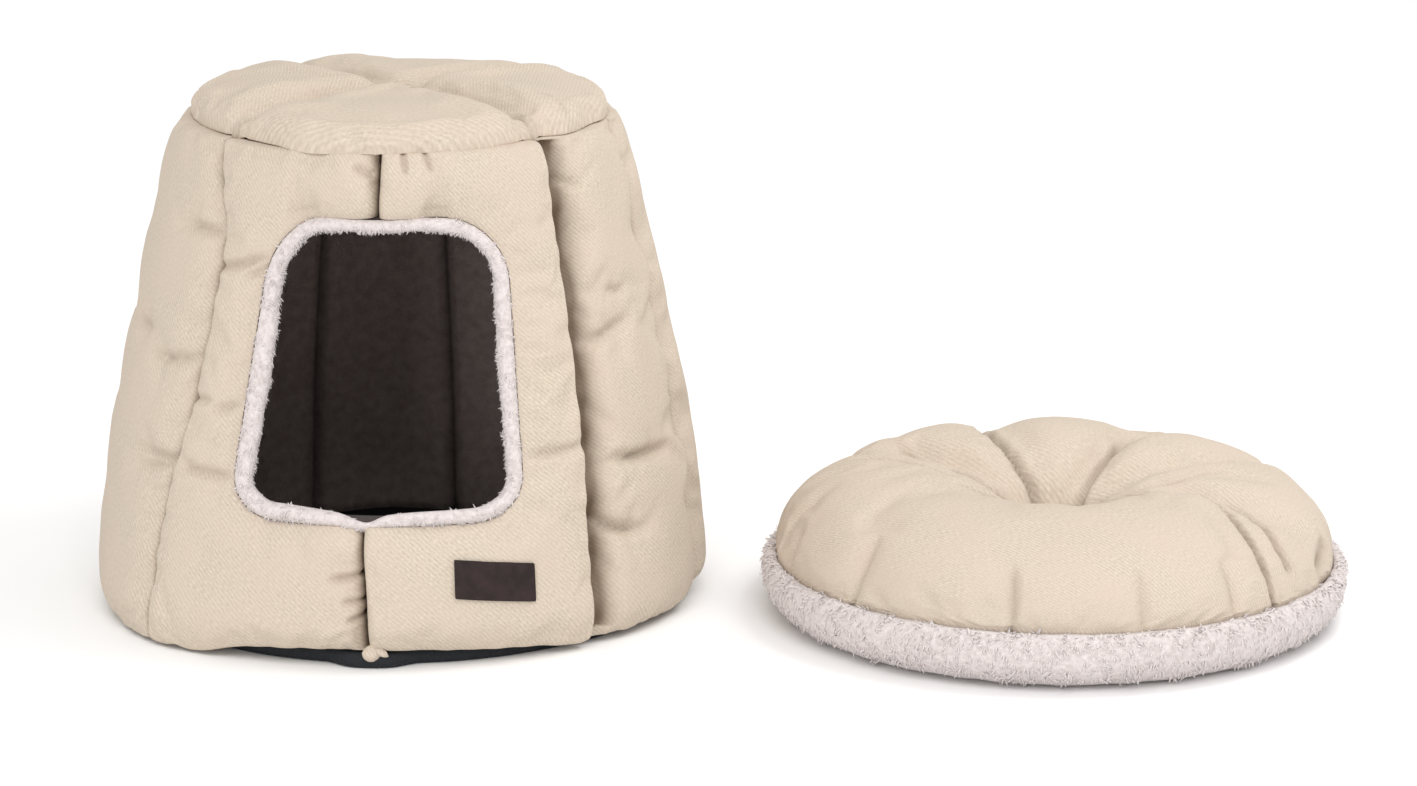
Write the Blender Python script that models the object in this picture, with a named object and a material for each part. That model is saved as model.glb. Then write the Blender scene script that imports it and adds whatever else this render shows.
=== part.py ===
"""Cat cave bed: a padded cave of sewn wall panels under a quilted lid, and its loose round cushion."""
import math

import bmesh
import bpy
from mathutils import Vector

# Driving dimensions, in metres and degrees
GAP = 0.0003
CAVE_PLACE = (-0.2625, 0.0347, 0.0)
CAVE_TURN = -2.5
CUSHION_PLACE = (0.2745, -0.0308, 0.0)

# Cave wall: eight padded panels that lean inwards
PANEL_COUNT = 8
PANEL_CUTS = (10, 18, 1)
WALL_BOTTOM = 0.0123
WALL_TOP = 0.4025
WALL_SEAM_DIP = 0.011
WALL_SEAM_REACH = 0.040
WALL_END_REACH = 0.026
GATHER_SHARE = 0.35
GATHER_PITCH = 0.078
# Radius of the stuffed outer face: height, radius
WALL_OUTLINE = (
    (0.000, 0.2440),
    (0.030, 0.2515),
    (0.060, 0.2505),
    (0.100, 0.2465),
    (0.150, 0.2395),
    (0.200, 0.2295),
    (0.250, 0.2190),
    (0.300, 0.2080),
    (0.350, 0.1965),
    (0.385, 0.1875),
    (0.410, 0.1790),
)
# The foot of the wall swells out beside the front left seam
SWELL = 0.020
SWELL_ANGLE = -47.0
SWELL_SPREAD = 26.0
SWELL_TOP = 0.130
# Inner face: radius at the floor, mid height and top
INNER_BOTTOM = 0.2155
INNER_MIDDLE = 0.1955
INNER_TOP = 0.1500

# Entrance: a rounded opening that narrows upwards, more so on its left
DOOR_MIDDLE = 0.2325
DOOR_HALF_HEIGHT = 0.1185
DOOR_HALF_WIDTH = 0.1050
DOOR_LEFT = 0.1005
DOOR_LEFT_LEAN = 0.0190
DOOR_RIGHT = 0.1090
DOOR_RIGHT_LEAN = 0.0090
DOOR_LOW_CORNER = 0.036
DOOR_HIGH_CORNER = 0.052
DOOR_DIP = 0.010
DOOR_REACH = 0.034
CORNER_STEPS = 6
TRIM_RADIUS = 0.0085
TRIM_SINK = 0.0130
TRIM_STEPS = 60
GUIDE_FRONT = 0.300
GUIDE_DEPTH = 0.220

# Lining: one thin cloth on the inner faces and under the lid
LINING_CLEARANCE = 0.0007
LINING_THICKNESS = 0.0015
LINING_SEGMENTS = 48
LINING_ROWS = 7

# Lid: four stuffed quadrants
LID_BOTTOM = 0.4028
LID_RIM = 0.4120
LID_CROWNS = (0.0225, 0.0220, 0.0190, 0.0220)
LID_RADIUS = 0.1690
LID_SEAM_REACH = 0.050
LID_RIM_REACH = 0.075
LID_CUTS = (10, 10, 1)

# Base: a flat pad with a short lobe at the front seam
BASE_RADIUS = 0.2300
BASE_THICKNESS = 0.0120
BASE_EDGE = 0.0030
BASE_SEGMENTS = 64
LOBE_REACH = 0.013
LOBE_HALF_ANGLE = 7.0

# Label: a small leather patch low on the front right panel
LABEL_WIDTH = 0.068
LABEL_HEIGHT = 0.033
LABEL_THICKNESS = 0.0016
LABEL_CLEARANCE = 0.0007
LABEL_ANGLE = 22.4
LABEL_MIDDLE = 0.0700
LABEL_SLOPE = -0.13
LABEL_CUTS = (6, 3, 1)

# Cushion: one filled round with a deep tuft, on a plush underside
CUSHION_RADIUS = 0.2280
CUSHION_SEAM = 0.0510
CUSHION_CROWN = 0.0680
CROWN_FLATNESS = 5.0
CROWN_ROUNDNESS = 0.6
CUSHION_DEPTH_SHARE = 1.06
CUSHION_BACK_RISE = 0.028
CUSHION_TUFT_DEPTH = 0.052
CUSHION_TUFT_REACH = 0.056
CUSHION_SEGMENTS = 60
CUSHION_RINGS = 13
PLUSH_THICKNESS = 0.0090
# Stuffed underside of the filled round: radius, height
CUSHION_UNDERSIDE = (
    (0.2265, 0.0360),
    (0.2190, 0.0205),
    (0.2050, 0.0122),
    (0.1900, 0.0096),
    (0.1000, 0.0096),
)
# Outer face of the plush: radius, height
PLUSH_OUTSIDE = (
    (0.1000, 0.0000),
    (0.2040, 0.0000),
    (0.2200, 0.0045),
    (0.2330, 0.0170),
    (0.2390, 0.0320),
    (0.2375, 0.0440),
    (0.2335, 0.0480),
)
# Folds that run out from the tuft: direction from the front, depth, half width, inner and outer radius
CUSHION_FOLDS = (
    {"angle": -141.0, "depth": 0.022, "spread": 11.0, "start": 0.020, "end": 0.215},
    {"angle": -168.0, "depth": 0.006, "spread": 7.0, "start": 0.110, "end": 0.225},
    {"angle": 152.0, "depth": 0.014, "spread": 10.0, "start": 0.020, "end": 0.195},
    {"angle": 112.0, "depth": 0.012, "spread": 12.0, "start": 0.030, "end": 0.190},
    {"angle": 66.0, "depth": 0.013, "spread": 11.0, "start": 0.060, "end": 0.222},
    {"angle": -8.0, "depth": 0.005, "spread": 12.0, "start": 0.150, "end": 0.228},
    {"angle": -62.0, "depth": 0.004, "spread": 12.0, "start": 0.040, "end": 0.190},
)

# Looks: colour, roughness
TWILL = ((0.76, 0.64, 0.50), 0.92)
PLUSH = ((0.86, 0.79, 0.76), 0.95)
LINING = ((0.035, 0.023, 0.021), 0.95)
BASE_CLOTH = ((0.012, 0.014, 0.017), 0.80)
LEATHER = ((0.045, 0.023, 0.021), 0.55)
SHARP_ANGLE = math.radians(50.0)


def clear_scene():
    for item in list(bpy.data.objects):
        bpy.data.objects.remove(item, do_unlink=True)


def make_material(name, look):
    colour, roughness = look
    material = bpy.data.materials.new(name)
    material.use_nodes = True
    shader = material.node_tree.nodes["Principled BSDF"]
    shader.inputs["Base Color"].default_value = (*colour, 1.0)
    shader.inputs["Roughness"].default_value = roughness
    shader.inputs["Metallic"].default_value = 0.0
    return material


def add_place(name, location, turn):
    place = bpy.data.objects.new(name, None)
    place.location = location
    place.rotation_euler = (0.0, 0.0, math.radians(turn))
    bpy.context.collection.objects.link(place)
    return place


def add_piece(name, bm, look, place):
    bmesh.ops.recalc_face_normals(bm, faces=bm.faces)
    if bm.calc_volume(signed=True) < 0.0:
        bmesh.ops.reverse_faces(bm, faces=bm.faces)
    mesh = bpy.data.meshes.new(name)
    bm.to_mesh(mesh)
    bm.free()
    mesh.shade_smooth()
    mesh.set_sharp_from_angle(angle=SHARP_ANGLE)
    mesh.materials.append(make_material(name, look))
    piece = bpy.data.objects.new(name, mesh)
    piece.parent = place
    bpy.context.collection.objects.link(piece)
    return piece


def add_cut(piece, cutter):
    cut = piece.modifiers.new("entrance", "BOOLEAN")
    cut.operation = "DIFFERENCE"
    cut.solver = "EXACT"
    cut.object = cutter


def rise(distance, reach):
    """Rise of a stuffed face from its seam: steep at the seam, level at the reach."""
    share = min(max(distance / reach, 0.0), 1.0)
    return math.sqrt(1.0 - (1.0 - share) ** 2)


def crowd_ends(share):
    """Moves an even share of -1 to 1 towards its ends, where stuffed faces curve most."""
    return 0.5 * share + 0.5 * math.sin(share * math.pi / 2)


def on_round(radius, angle, height):
    """A point at an angle from the front, which faces -Y."""
    return Vector((radius * math.sin(angle), -radius * math.cos(angle), height))


def make_block(cuts):
    """A unit block in rows of faces, from 0 to 1 along each axis."""
    bm = bmesh.new()
    bmesh.ops.create_cube(bm, size=1.0)
    for axis, count in enumerate(cuts):
        along = [edge for edge in bm.edges if abs(edge.verts[1].co[axis] - edge.verts[0].co[axis]) > 0.9]
        if count > 1:
            bmesh.ops.subdivide_edges(bm, edges=along, cuts=count - 1, use_grid_fill=True)
    bmesh.ops.translate(bm, verts=bm.verts, vec=(0.5, 0.5, 0.5))
    return bm


def make_turned(profile, segments):
    """A closed body of revolution, from a profile that starts and ends on the axis."""
    bm = bmesh.new()
    verts = [bm.verts.new((0.0, -radius, height)) for radius, height in profile]
    edges = [bm.edges.new(pair) for pair in zip(verts, verts[1:])]
    bmesh.ops.spin(bm, geom=verts + edges, cent=(0, 0, 0), axis=(0, 0, 1), dvec=(0, 0, 0),
                   angle=2 * math.pi, steps=segments, use_merge=True, use_duplicate=False)
    bmesh.ops.remove_doubles(bm, verts=bm.verts, dist=1e-6)
    return bm


def wall_radius(height):
    """Radius of the fully stuffed outer face at a height."""
    for (low, low_radius), (high, high_radius) in zip(WALL_OUTLINE, WALL_OUTLINE[1:]):
        if height <= high:
            return low_radius + (high_radius - low_radius) * (height - low) / (high - low)
    return WALL_OUTLINE[-1][1]


def foot_swell(angle, height):
    away = (math.degrees(angle) - SWELL_ANGLE + 180.0) % 360.0 - 180.0
    share = max(1.0 - height / SWELL_TOP, 0.0)
    return SWELL * share ** 2 * math.exp(-(away / SWELL_SPREAD) ** 2)


def inner_radius(height):
    """A smooth curve through the inner face's three radii."""
    share = (height - WALL_BOTTOM) / (WALL_TOP - WALL_BOTTOM)
    low = INNER_BOTTOM * (1.0 - share) * (1.0 - 2.0 * share)
    middle = INNER_MIDDLE * 4.0 * share * (1.0 - share)
    high = INNER_TOP * share * (2.0 * share - 1.0)
    return low + middle + high


def door_taper(side, height):
    """Share of the entrance's half width, on its left or right side, at a height."""
    share = (height - DOOR_MIDDLE) / DOOR_HALF_HEIGHT
    if side < 0.0:
        return (DOOR_LEFT - DOOR_LEFT_LEAN * share) / DOOR_HALF_WIDTH
    return (DOOR_RIGHT - DOOR_RIGHT_LEAN * share) / DOOR_HALF_WIDTH


def door_distance(point):
    """Distance from the entrance's outline, seen from the front; zero inside it."""
    if point.y > 0.0:
        return DOOR_REACH
    corner = DOOR_HIGH_CORNER if point.z > DOOR_MIDDLE else DOOR_LOW_CORNER
    across = abs(point.x) / door_taper(point.x, point.z) - (DOOR_HALF_WIDTH - corner)
    up = abs(point.z - DOOR_MIDDLE) - (DOOR_HALF_HEIGHT - corner)
    outside = math.hypot(max(across, 0.0), max(up, 0.0))
    return max(outside - corner, 0.0)


def door_outline():
    """The entrance's outline, seen from the front, as straight sides and round corners."""
    points = []
    corners = ((1, 1, 0.0, DOOR_HIGH_CORNER), (-1, 1, 90.0, DOOR_HIGH_CORNER),
               (-1, -1, 180.0, DOOR_LOW_CORNER), (1, -1, 270.0, DOOR_LOW_CORNER))
    for side, level, start, corner in corners:
        for step in range(CORNER_STEPS + 1):
            angle = math.radians(start + 90.0 * step / CORNER_STEPS)
            across = side * (DOOR_HALF_WIDTH - corner) + corner * math.cos(angle)
            height = DOOR_MIDDLE + level * (DOOR_HALF_HEIGHT - corner) + corner * math.sin(angle)
            points.append(Vector((across * door_taper(side, height), 0.0, height)))
    return points


def even_loop(points, count):
    """The same closed outline in steps of equal length."""
    lengths = [(after - before).length for before, after in zip(points, points[1:] + points[:1])]
    step = sum(lengths) / count
    loop = []
    walked = 0.0
    for before, after, length in zip(points, points[1:] + points[:1], lengths):
        while len(loop) < count and len(loop) * step <= walked + length:
            loop.append(before.lerp(after, (len(loop) * step - walked) / length))
        walked += length
    return loop


def inset_loop(points, distance):
    """A closed outline in the XZ plane, moved inwards."""
    inset = []
    for index, point in enumerate(points):
        along = (points[(index + 1) % len(points)] - points[index - 1]).normalized()
        inset.append(point + Vector((-along.z, 0.0, along.x)) * distance)
    return inset


def outer_radius(angle, height, seam_distance, panel):
    """Radius of a panel's outer face: drawn in at its seams, its ends and the entrance."""
    stuffed = wall_radius(height) + foot_swell(angle, height)
    ends = rise(height - WALL_BOTTOM, WALL_END_REACH) * rise(WALL_TOP - height, WALL_END_REACH)
    gathers = 1.0 + GATHER_SHARE * math.sin(2 * math.pi * height / GATHER_PITCH + panel)
    reach = WALL_SEAM_REACH * gathers
    seams = rise(seam_distance, reach) * ends
    door = rise(door_distance(on_round(stuffed, angle, height)), DOOR_REACH)
    return stuffed - WALL_SEAM_DIP * (1.0 - seams) - DOOR_DIP * (1.0 - door)


def add_wall_panel(panel, cutter, place):
    half = math.pi / PANEL_COUNT
    middle = (2 * panel + 1) * half
    bm = make_block(PANEL_CUTS)
    for vert in bm.verts:
        across = crowd_ends(2.0 * vert.co.x - 1.0)
        height = WALL_BOTTOM + (WALL_TOP - WALL_BOTTOM) * (0.5 + 0.5 * crowd_ends(2.0 * vert.co.y - 1.0))
        stuffed = wall_radius(height)
        angle = middle + across * (half - 0.5 * GAP / INNER_TOP)
        outer = outer_radius(angle, height, (1.0 - abs(across)) * half * stuffed, panel)
        radius = inner_radius(height) + (outer - inner_radius(height)) * vert.co.z
        vert.co = on_round(radius, angle, height)
    piece = add_piece(f"wall_panel_{panel + 1}", bm, TWILL, place)
    if panel in (0, PANEL_COUNT - 1):
        add_cut(piece, cutter)


def add_door_cutter(place):
    """A guide as wide as the entrance, which goes through the front wall."""
    outline = door_outline()
    bm = bmesh.new()
    bmesh.ops.create_circle(bm, cap_ends=True, segments=len(outline), radius=1.0)
    bm.verts.ensure_lookup_table()
    for vert, point in zip(bm.verts, outline):
        vert.co = point + Vector((0.0, -GUIDE_FRONT, 0.0))
    grown = bmesh.ops.extrude_face_region(bm, geom=list(bm.faces))
    moved = [item for item in grown["geom"] if isinstance(item, bmesh.types.BMVert)]
    bmesh.ops.translate(bm, verts=moved, vec=(0.0, GUIDE_DEPTH, 0.0))
    cutter = add_piece("entrance_guide", bm, LINING, place)
    cutter.hide_render = True
    cutter.display_type = "WIRE"
    return cutter


def add_door_trim(place):
    """A plush roll that binds the edge of the entrance."""
    loop = inset_loop(even_loop(door_outline(), TRIM_STEPS), TRIM_RADIUS + 2 * GAP)
    curve = bpy.data.curves.new("entrance_trim", "CURVE")
    curve.dimensions = "3D"
    curve.bevel_depth = TRIM_RADIUS
    curve.bevel_resolution = 2
    curve.materials.append(make_material("entrance_trim", PLUSH))
    spline = curve.splines.new("POLY")
    spline.points.add(TRIM_STEPS - 1)
    spline.use_cyclic_u = True
    spline.use_smooth = True
    for point, flat in zip(spline.points, loop):
        radius = wall_radius(flat.z) - TRIM_SINK
        point.co = (flat.x, -math.sqrt(radius ** 2 - flat.x ** 2), flat.z, 1.0)
    trim = bpy.data.objects.new("entrance_trim", curve)
    trim.parent = place
    bpy.context.collection.objects.link(trim)


def add_lining(cutter, place):
    outer = LINING_CLEARANCE
    inner = LINING_CLEARANCE + LINING_THICKNESS
    ceiling = LID_BOTTOM - GAP
    heights = [WALL_BOTTOM + (ceiling - WALL_BOTTOM) * row / LINING_ROWS for row in range(LINING_ROWS + 1)]
    profile = [(0.0, ceiling), (0.5 * INNER_TOP, ceiling)]
    profile += [(inner_radius(height) - outer, height) for height in reversed(heights)]
    heights[-1] = ceiling - LINING_THICKNESS
    profile += [(inner_radius(height) - inner, height) for height in heights]
    profile += [(0.5 * INNER_TOP, heights[-1]), (0.0, heights[-1])]
    bm = make_turned(profile, LINING_SEGMENTS)
    piece = add_piece("cave_lining", bm, LINING, place)
    add_cut(piece, cutter)


def add_lid_quadrant(quadrant, place):
    """A quarter disc, stuffed between two seams that meet at the middle and the rim."""
    bm = make_block(LID_CUTS)
    half_gap = 0.5 * GAP
    turn = math.radians(90.0 * quadrant - 45.0)
    for vert in bm.verts:
        first = 0.5 + 0.5 * crowd_ends(2.0 * vert.co.x - 1.0)
        second = 0.5 + 0.5 * crowd_ends(2.0 * vert.co.y - 1.0)
        across = LID_RADIUS * first * math.sqrt(1.0 - 0.5 * second ** 2)
        along = LID_RADIUS * second * math.sqrt(1.0 - 0.5 * first ** 2)
        rim = LID_RADIUS - math.hypot(across, along)
        stuffed = rise(across, LID_SEAM_REACH) * rise(along, LID_SEAM_REACH) * rise(rim, LID_RIM_REACH)
        top = LID_RIM + LID_CROWNS[quadrant] * stuffed
        height = LID_BOTTOM + (top - LID_BOTTOM) * vert.co.z
        across += half_gap
        along += half_gap
        vert.co = on_round(math.hypot(across, along), turn + math.atan2(across, along), height)
    add_piece(f"lid_quadrant_{quadrant + 1}", bm, TWILL, place)


def add_base(place):
    profile = [(0.0, 0.0), (BASE_RADIUS - BASE_EDGE, 0.0), (BASE_RADIUS, BASE_EDGE),
               (BASE_RADIUS, BASE_THICKNESS), (0.0, BASE_THICKNESS)]
    bm = make_turned(profile, BASE_SEGMENTS)
    for vert in bm.verts:
        radius = math.hypot(vert.co.x, vert.co.y)
        if radius > 0.5 * BASE_RADIUS:
            angle = math.atan2(vert.co.x, -vert.co.y)
            share = math.degrees(angle) / LOBE_HALF_ANGLE
            radius += LOBE_REACH * math.exp(-share ** 4)
            vert.co = on_round(radius, angle, vert.co.z)
    add_piece("cave_base", bm, BASE_CLOTH, place)


def add_label(place):
    bm = make_block(LABEL_CUTS)
    half = math.pi / PANEL_COUNT
    for vert in bm.verts:
        across = LABEL_WIDTH * (vert.co.x - 0.5)
        height = LABEL_MIDDLE + LABEL_HEIGHT * (vert.co.y - 0.5) + LABEL_SLOPE * across
        stuffed = wall_radius(height)
        angle = math.radians(LABEL_ANGLE) + across / stuffed
        seam_distance = (half - abs(angle - half)) * stuffed
        outer = outer_radius(angle, height, seam_distance, 0)
        vert.co = on_round(outer + LABEL_CLEARANCE + LABEL_THICKNESS * vert.co.z, angle, height)
    add_piece("leather_label", bm, LEATHER, place)


def fold_depth(angle, radius):
    """How far the cushion's top is drawn down by its folds."""
    depth = 0.0
    for fold in CUSHION_FOLDS:
        away = (math.degrees(angle) - fold["angle"] + 180.0) % 360.0 - 180.0
        middle = 0.5 * (fold["start"] + fold["end"])
        along = (radius - middle) / (fold["end"] - middle)
        if abs(along) < 1.0:
            depth += fold["depth"] * math.exp(-(away / fold["spread"]) ** 2) * math.sqrt(1.0 - along ** 2)
    return depth


def stretch_depth(bm):
    """The cushion lies a little deeper from front to back than it is wide."""
    bmesh.ops.scale(bm, verts=bm.verts, vec=(1.0, CUSHION_DEPTH_SHARE, 1.0))


def add_cushion(place):
    rings = [CUSHION_RADIUS * math.sin(0.5 * math.pi * ring / CUSHION_RINGS) for ring in range(CUSHION_RINGS + 1)]
    profile = []
    for radius in rings:
        share = radius / CUSHION_RADIUS
        crown = CUSHION_CROWN * (1.0 - min(share, 1.0) ** CROWN_FLATNESS) ** CROWN_ROUNDNESS
        tuft = CUSHION_TUFT_DEPTH * math.exp(-(radius / CUSHION_TUFT_REACH) ** 2)
        profile.append((radius, CUSHION_SEAM + crown - tuft))
    profile += list(CUSHION_UNDERSIDE) + [(0.0, CUSHION_UNDERSIDE[-1][1])]
    bm = make_turned(profile, CUSHION_SEGMENTS)
    for vert in bm.verts:
        if vert.co.z > CUSHION_SEAM:
            angle = math.atan2(vert.co.x, -vert.co.y)
            share = (vert.co.z - CUSHION_SEAM) / CUSHION_CROWN
            vert.co.z -= fold_depth(angle, math.hypot(vert.co.x, vert.co.y))
            vert.co.z += CUSHION_BACK_RISE * vert.co.y * share
    stretch_depth(bm)
    add_piece("cushion_body", bm, TWILL, place)


def add_plush(place):
    """The plush underside, which wraps up the cushion's side as far as the seam."""
    clearance = 2 * GAP
    inside = [(radius + clearance, height - clearance) for radius, height in CUSHION_UNDERSIDE[:-1]]
    floor = PLUSH_THICKNESS + GAP
    rim = (CUSHION_RADIUS + clearance, PLUSH_OUTSIDE[-1][1])
    profile = [(0.0, 0.0)] + list(PLUSH_OUTSIDE) + [rim] + inside
    profile += [(CUSHION_UNDERSIDE[-1][0], floor), (0.0, floor)]
    bm = make_turned(profile, CUSHION_SEGMENTS)
    stretch_depth(bm)
    add_piece("cushion_plush", bm, PLUSH, place)


def build():
    clear_scene()
    cave = add_place("cave_place", CAVE_PLACE, CAVE_TURN)
    cushion = add_place("cushion_place", CUSHION_PLACE, 0.0)
    cutter = add_door_cutter(cave)
    for panel in range(PANEL_COUNT):
        add_wall_panel(panel, cutter, cave)
    add_lining(cutter, cave)
    add_door_trim(cave)
    for quadrant in range(4):
        add_lid_quadrant(quadrant, cave)
    add_base(cave)
    add_label(cave)
    add_cushion(cushion)
    add_plush(cushion)


build()
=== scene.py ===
# %% [markdown]
# A padded cat cave and its loose cushion. The real ones are sewn from a pale melange twill, with a
# white plush binding round the entrance, a dark pile lining, a black base and a leather label.
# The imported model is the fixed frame: each piece below is laid on the space that its solid holds.

# %% Load the frame
import math

import bmesh
import bpy
import numpy as np
from mathutils import Matrix, Vector, noise
from mathutils.bvhtree import BVHTree


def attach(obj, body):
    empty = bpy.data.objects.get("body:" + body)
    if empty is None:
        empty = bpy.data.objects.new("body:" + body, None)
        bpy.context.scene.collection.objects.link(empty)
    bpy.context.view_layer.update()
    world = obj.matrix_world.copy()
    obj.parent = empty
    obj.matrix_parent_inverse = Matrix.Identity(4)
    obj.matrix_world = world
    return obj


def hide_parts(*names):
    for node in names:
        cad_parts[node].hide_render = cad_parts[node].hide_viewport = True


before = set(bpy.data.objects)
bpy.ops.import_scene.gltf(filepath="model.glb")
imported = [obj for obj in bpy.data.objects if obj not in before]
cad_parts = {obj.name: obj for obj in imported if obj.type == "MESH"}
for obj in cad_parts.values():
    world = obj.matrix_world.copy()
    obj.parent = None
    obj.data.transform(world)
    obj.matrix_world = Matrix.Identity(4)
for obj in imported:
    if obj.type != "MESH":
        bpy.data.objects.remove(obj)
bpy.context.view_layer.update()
CAVE = Matrix.Translation((-0.2625, 0.0347, 0.0)) @ Matrix.Rotation(math.radians(-2.5), 4, "Z")
CUSHION = Matrix.Translation((0.2745, -0.0308, 0.0))

# %% [markdown]
# The camera stands four metres in front and looks down a little, through a long lens. A long lens
# keeps the upright sides almost parallel, as in a catalogue picture.

# %% Camera
lens = bpy.data.cameras.new("camera")
lens.lens = 126.0
lens.sensor_width = 36.0
camera = bpy.data.objects.new("camera", lens)
camera.location = (-0.0095, -3.9653, 1.13)
camera.rotation_euler = (math.radians(90.0 - 13.55), 0.0, 0.0)
bpy.context.collection.objects.link(camera)
bpy.context.scene.camera = camera
print("camera", lens.lens, "mm, at", list(camera.location))

# %% [markdown]
# The light is a soft studio light. A bright white world fills every fold from all round, a wide
# light panel above the front gives the folds their direction, a low lamp on the left reaches into
# the entrance, two small ones on the right lift the cushion, and the white floor takes the shadows.

# %% Studio
WORLD_LIGHT = 0.82
SUN_STRENGTH = 0.90
SUN_TURN = (math.radians(38.0), 0.0, math.radians(4.0))
FRONT_POWER = 13.0
TOP_POWER = 6.0
SIDE_POWER = 3.0

bpy.context.scene.view_settings.view_transform = "Standard"
world = bpy.data.worlds.new("studio")
world.use_nodes = True
world.node_tree.nodes["Background"].inputs["Color"].default_value = (1.0, 1.0, 1.0, 1.0)
world.node_tree.nodes["Background"].inputs["Strength"].default_value = WORLD_LIGHT
bpy.context.scene.world = world


def add_lamp(name, place, target, size, power):
    """A square area lamp that looks at a point."""
    lamp = bpy.data.lights.new(name, "AREA")
    lamp.size = size
    lamp.energy = power
    holder = bpy.data.objects.new(name, lamp)
    holder.location = place
    holder.rotation_euler = (Vector(target) - Vector(place)).to_track_quat("-Z", "Y").to_euler()
    bpy.context.collection.objects.link(holder)


sun = bpy.data.lights.new("sky_panel", "SUN")
sun.energy = SUN_STRENGTH
sun.angle = math.radians(35.0)
sky_panel = bpy.data.objects.new("sky_panel", sun)
sky_panel.rotation_euler = SUN_TURN
bpy.context.collection.objects.link(sky_panel)
add_lamp("front_lamp", (-1.3, -2.6, 0.60), (-0.2, 0.0, 0.2), 0.8, FRONT_POWER)
add_lamp("top_lamp", (0.85, -0.05, 1.4), (0.3, 0.0, 0.1), 0.6, TOP_POWER)
add_lamp("side_lamp", (1.7, -1.3, 0.9), (-0.1, 0.0, 0.2), 0.7, SIDE_POWER)
print("lamps", SUN_STRENGTH, FRONT_POWER, TOP_POWER, SIDE_POWER)

# %% [markdown]
# Every finish is built from shader nodes. A small helper places a node, sets its options and links
# or fills its sockets, so that a finish reads from top to bottom like a recipe.

# %% Node helpers
def put(tree, kind, sockets=None, **options):
    """Adds one node, with its options, and its sockets linked or filled."""
    made = tree.nodes.new(kind)
    for name, value in options.items():
        setattr(made, name, value)
    for key, value in (sockets or {}).items():
        if isinstance(value, bpy.types.NodeSocket):
            tree.links.new(value, made.inputs[key])
        else:
            made.inputs[key].default_value = value
    return made


def math_of(tree, operation, first, second=0.0):
    return put(tree, "ShaderNodeMath", {0: first, 1: second}, operation=operation).outputs[0]


def mix_colours(tree, share, dark, light):
    made = put(tree, "ShaderNodeMix", {"Factor": share}, data_type="RGBA")
    for socket, value in ((made.inputs[6], dark), (made.inputs[7], light)):
        if isinstance(value, bpy.types.NodeSocket):
            tree.links.new(value, socket)
        else:
            socket.default_value = (*value, 1.0)
    return made.outputs[2]


def noise_of(tree, place, scale, detail=2.0, roughness=0.5):
    """Soft noise of 0 to 1."""
    sockets = {"Vector": place, "Scale": scale, "Detail": detail, "Roughness": roughness}
    return put(tree, "ShaderNodeTexNoise", sockets).outputs["Fac"]


def spread_of(tree, value, low, high, most=1.0):
    """Spreads the part of a value between low and high over 0 to most."""
    sockets = {"Value": value, "From Min": low, "From Max": high, "To Max": most}
    return put(tree, "ShaderNodeMapRange", sockets).outputs[0]


def mark_of(tree, name):
    """A number that the mesh keeps on its points."""
    return put(tree, "ShaderNodeAttribute", attribute_name=name).outputs["Fac"]


def object_place(tree):
    return put(tree, "ShaderNodeTexCoord").outputs["Object"]


def new_group(name, numbers, outputs):
    """An effect with named number inputs and a Place input, and its named outputs."""
    group = bpy.data.node_groups.new(name, "ShaderNodeTree")
    group.interface.new_socket("Place", in_out="INPUT", socket_type="NodeSocketVector")
    for label, value in numbers.items():
        made = group.interface.new_socket(label, in_out="INPUT", socket_type="NodeSocketFloat")
        made.default_value = value
    for label in outputs:
        group.interface.new_socket(label, in_out="OUTPUT", socket_type="NodeSocketFloat")
    return group, group.nodes.new("NodeGroupInput"), group.nodes.new("NodeGroupOutput")


def new_finish(name, roughness, sheen=0.0):
    """A material with its shader, and its plain values set on the shader itself."""
    finish = bpy.data.materials.new(name)
    finish.use_nodes = True
    shader = finish.node_tree.nodes["Principled BSDF"]
    shader.inputs["Roughness"].default_value = roughness
    shader.inputs["Sheen Weight"].default_value = sheen
    shader.inputs["Specular IOR Level"].default_value = 0.25
    return finish, finish.node_tree, shader


def bump(tree, shader, height, depth, strength=1.0):
    made = put(tree, "ShaderNodeBump", {"Strength": strength, "Distance": depth, "Height": height})
    tree.links.new(made.outputs["Normal"], shader.inputs["Normal"])


# %% [markdown]
# The twill has diagonal ribs about three millimetres apart, and its yarn is melange: lighter and
# darker fibres are spun together, which leaves short streaks. The weave group makes both from the
# cloth's own map in metres, so the ribs follow each panel round its curve. A mark on the points
# beside seams and creases holds the painted shade that stands for the shadow in them.

# %% Twill weave group
RIB_SCALE = 0.155
STREAK_SCALE = 0.90

twill_weave, taken, given = new_group("twill_weave", {"Rib": RIB_SCALE, "Streak": STREAK_SCALE},
                                      ("Height", "Melange", "Cloud"))
millimetres = put(twill_weave, "ShaderNodeVectorMath", {0: taken.outputs["Place"], 1: (1000.0,) * 3},
                  operation="MULTIPLY").outputs[0]
ribs = put(twill_weave, "ShaderNodeTexWave",
           {"Vector": millimetres, "Scale": taken.outputs["Rib"], "Distortion": 0.9, "Detail": 1.0,
            "Detail Scale": 0.8}, bands_direction="DIAGONAL").outputs["Fac"]
along = put(twill_weave, "ShaderNodeMapping",
            {"Vector": millimetres, "Rotation": (0.0, 0.0, math.radians(45.0)), "Scale": (1.0, 3.0, 1.0)},
            vector_type="TEXTURE").outputs[0]
streaks = noise_of(twill_weave, along, taken.outputs["Streak"], 2.5, 0.6)
yarns = noise_of(twill_weave, millimetres, 1.6, 1.0)
clouds = noise_of(twill_weave, millimetres, 0.018)
height = math_of(twill_weave, "ADD", math_of(twill_weave, "MULTIPLY", ribs, 0.60),
                 math_of(twill_weave, "MULTIPLY", yarns, 0.55))
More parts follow.
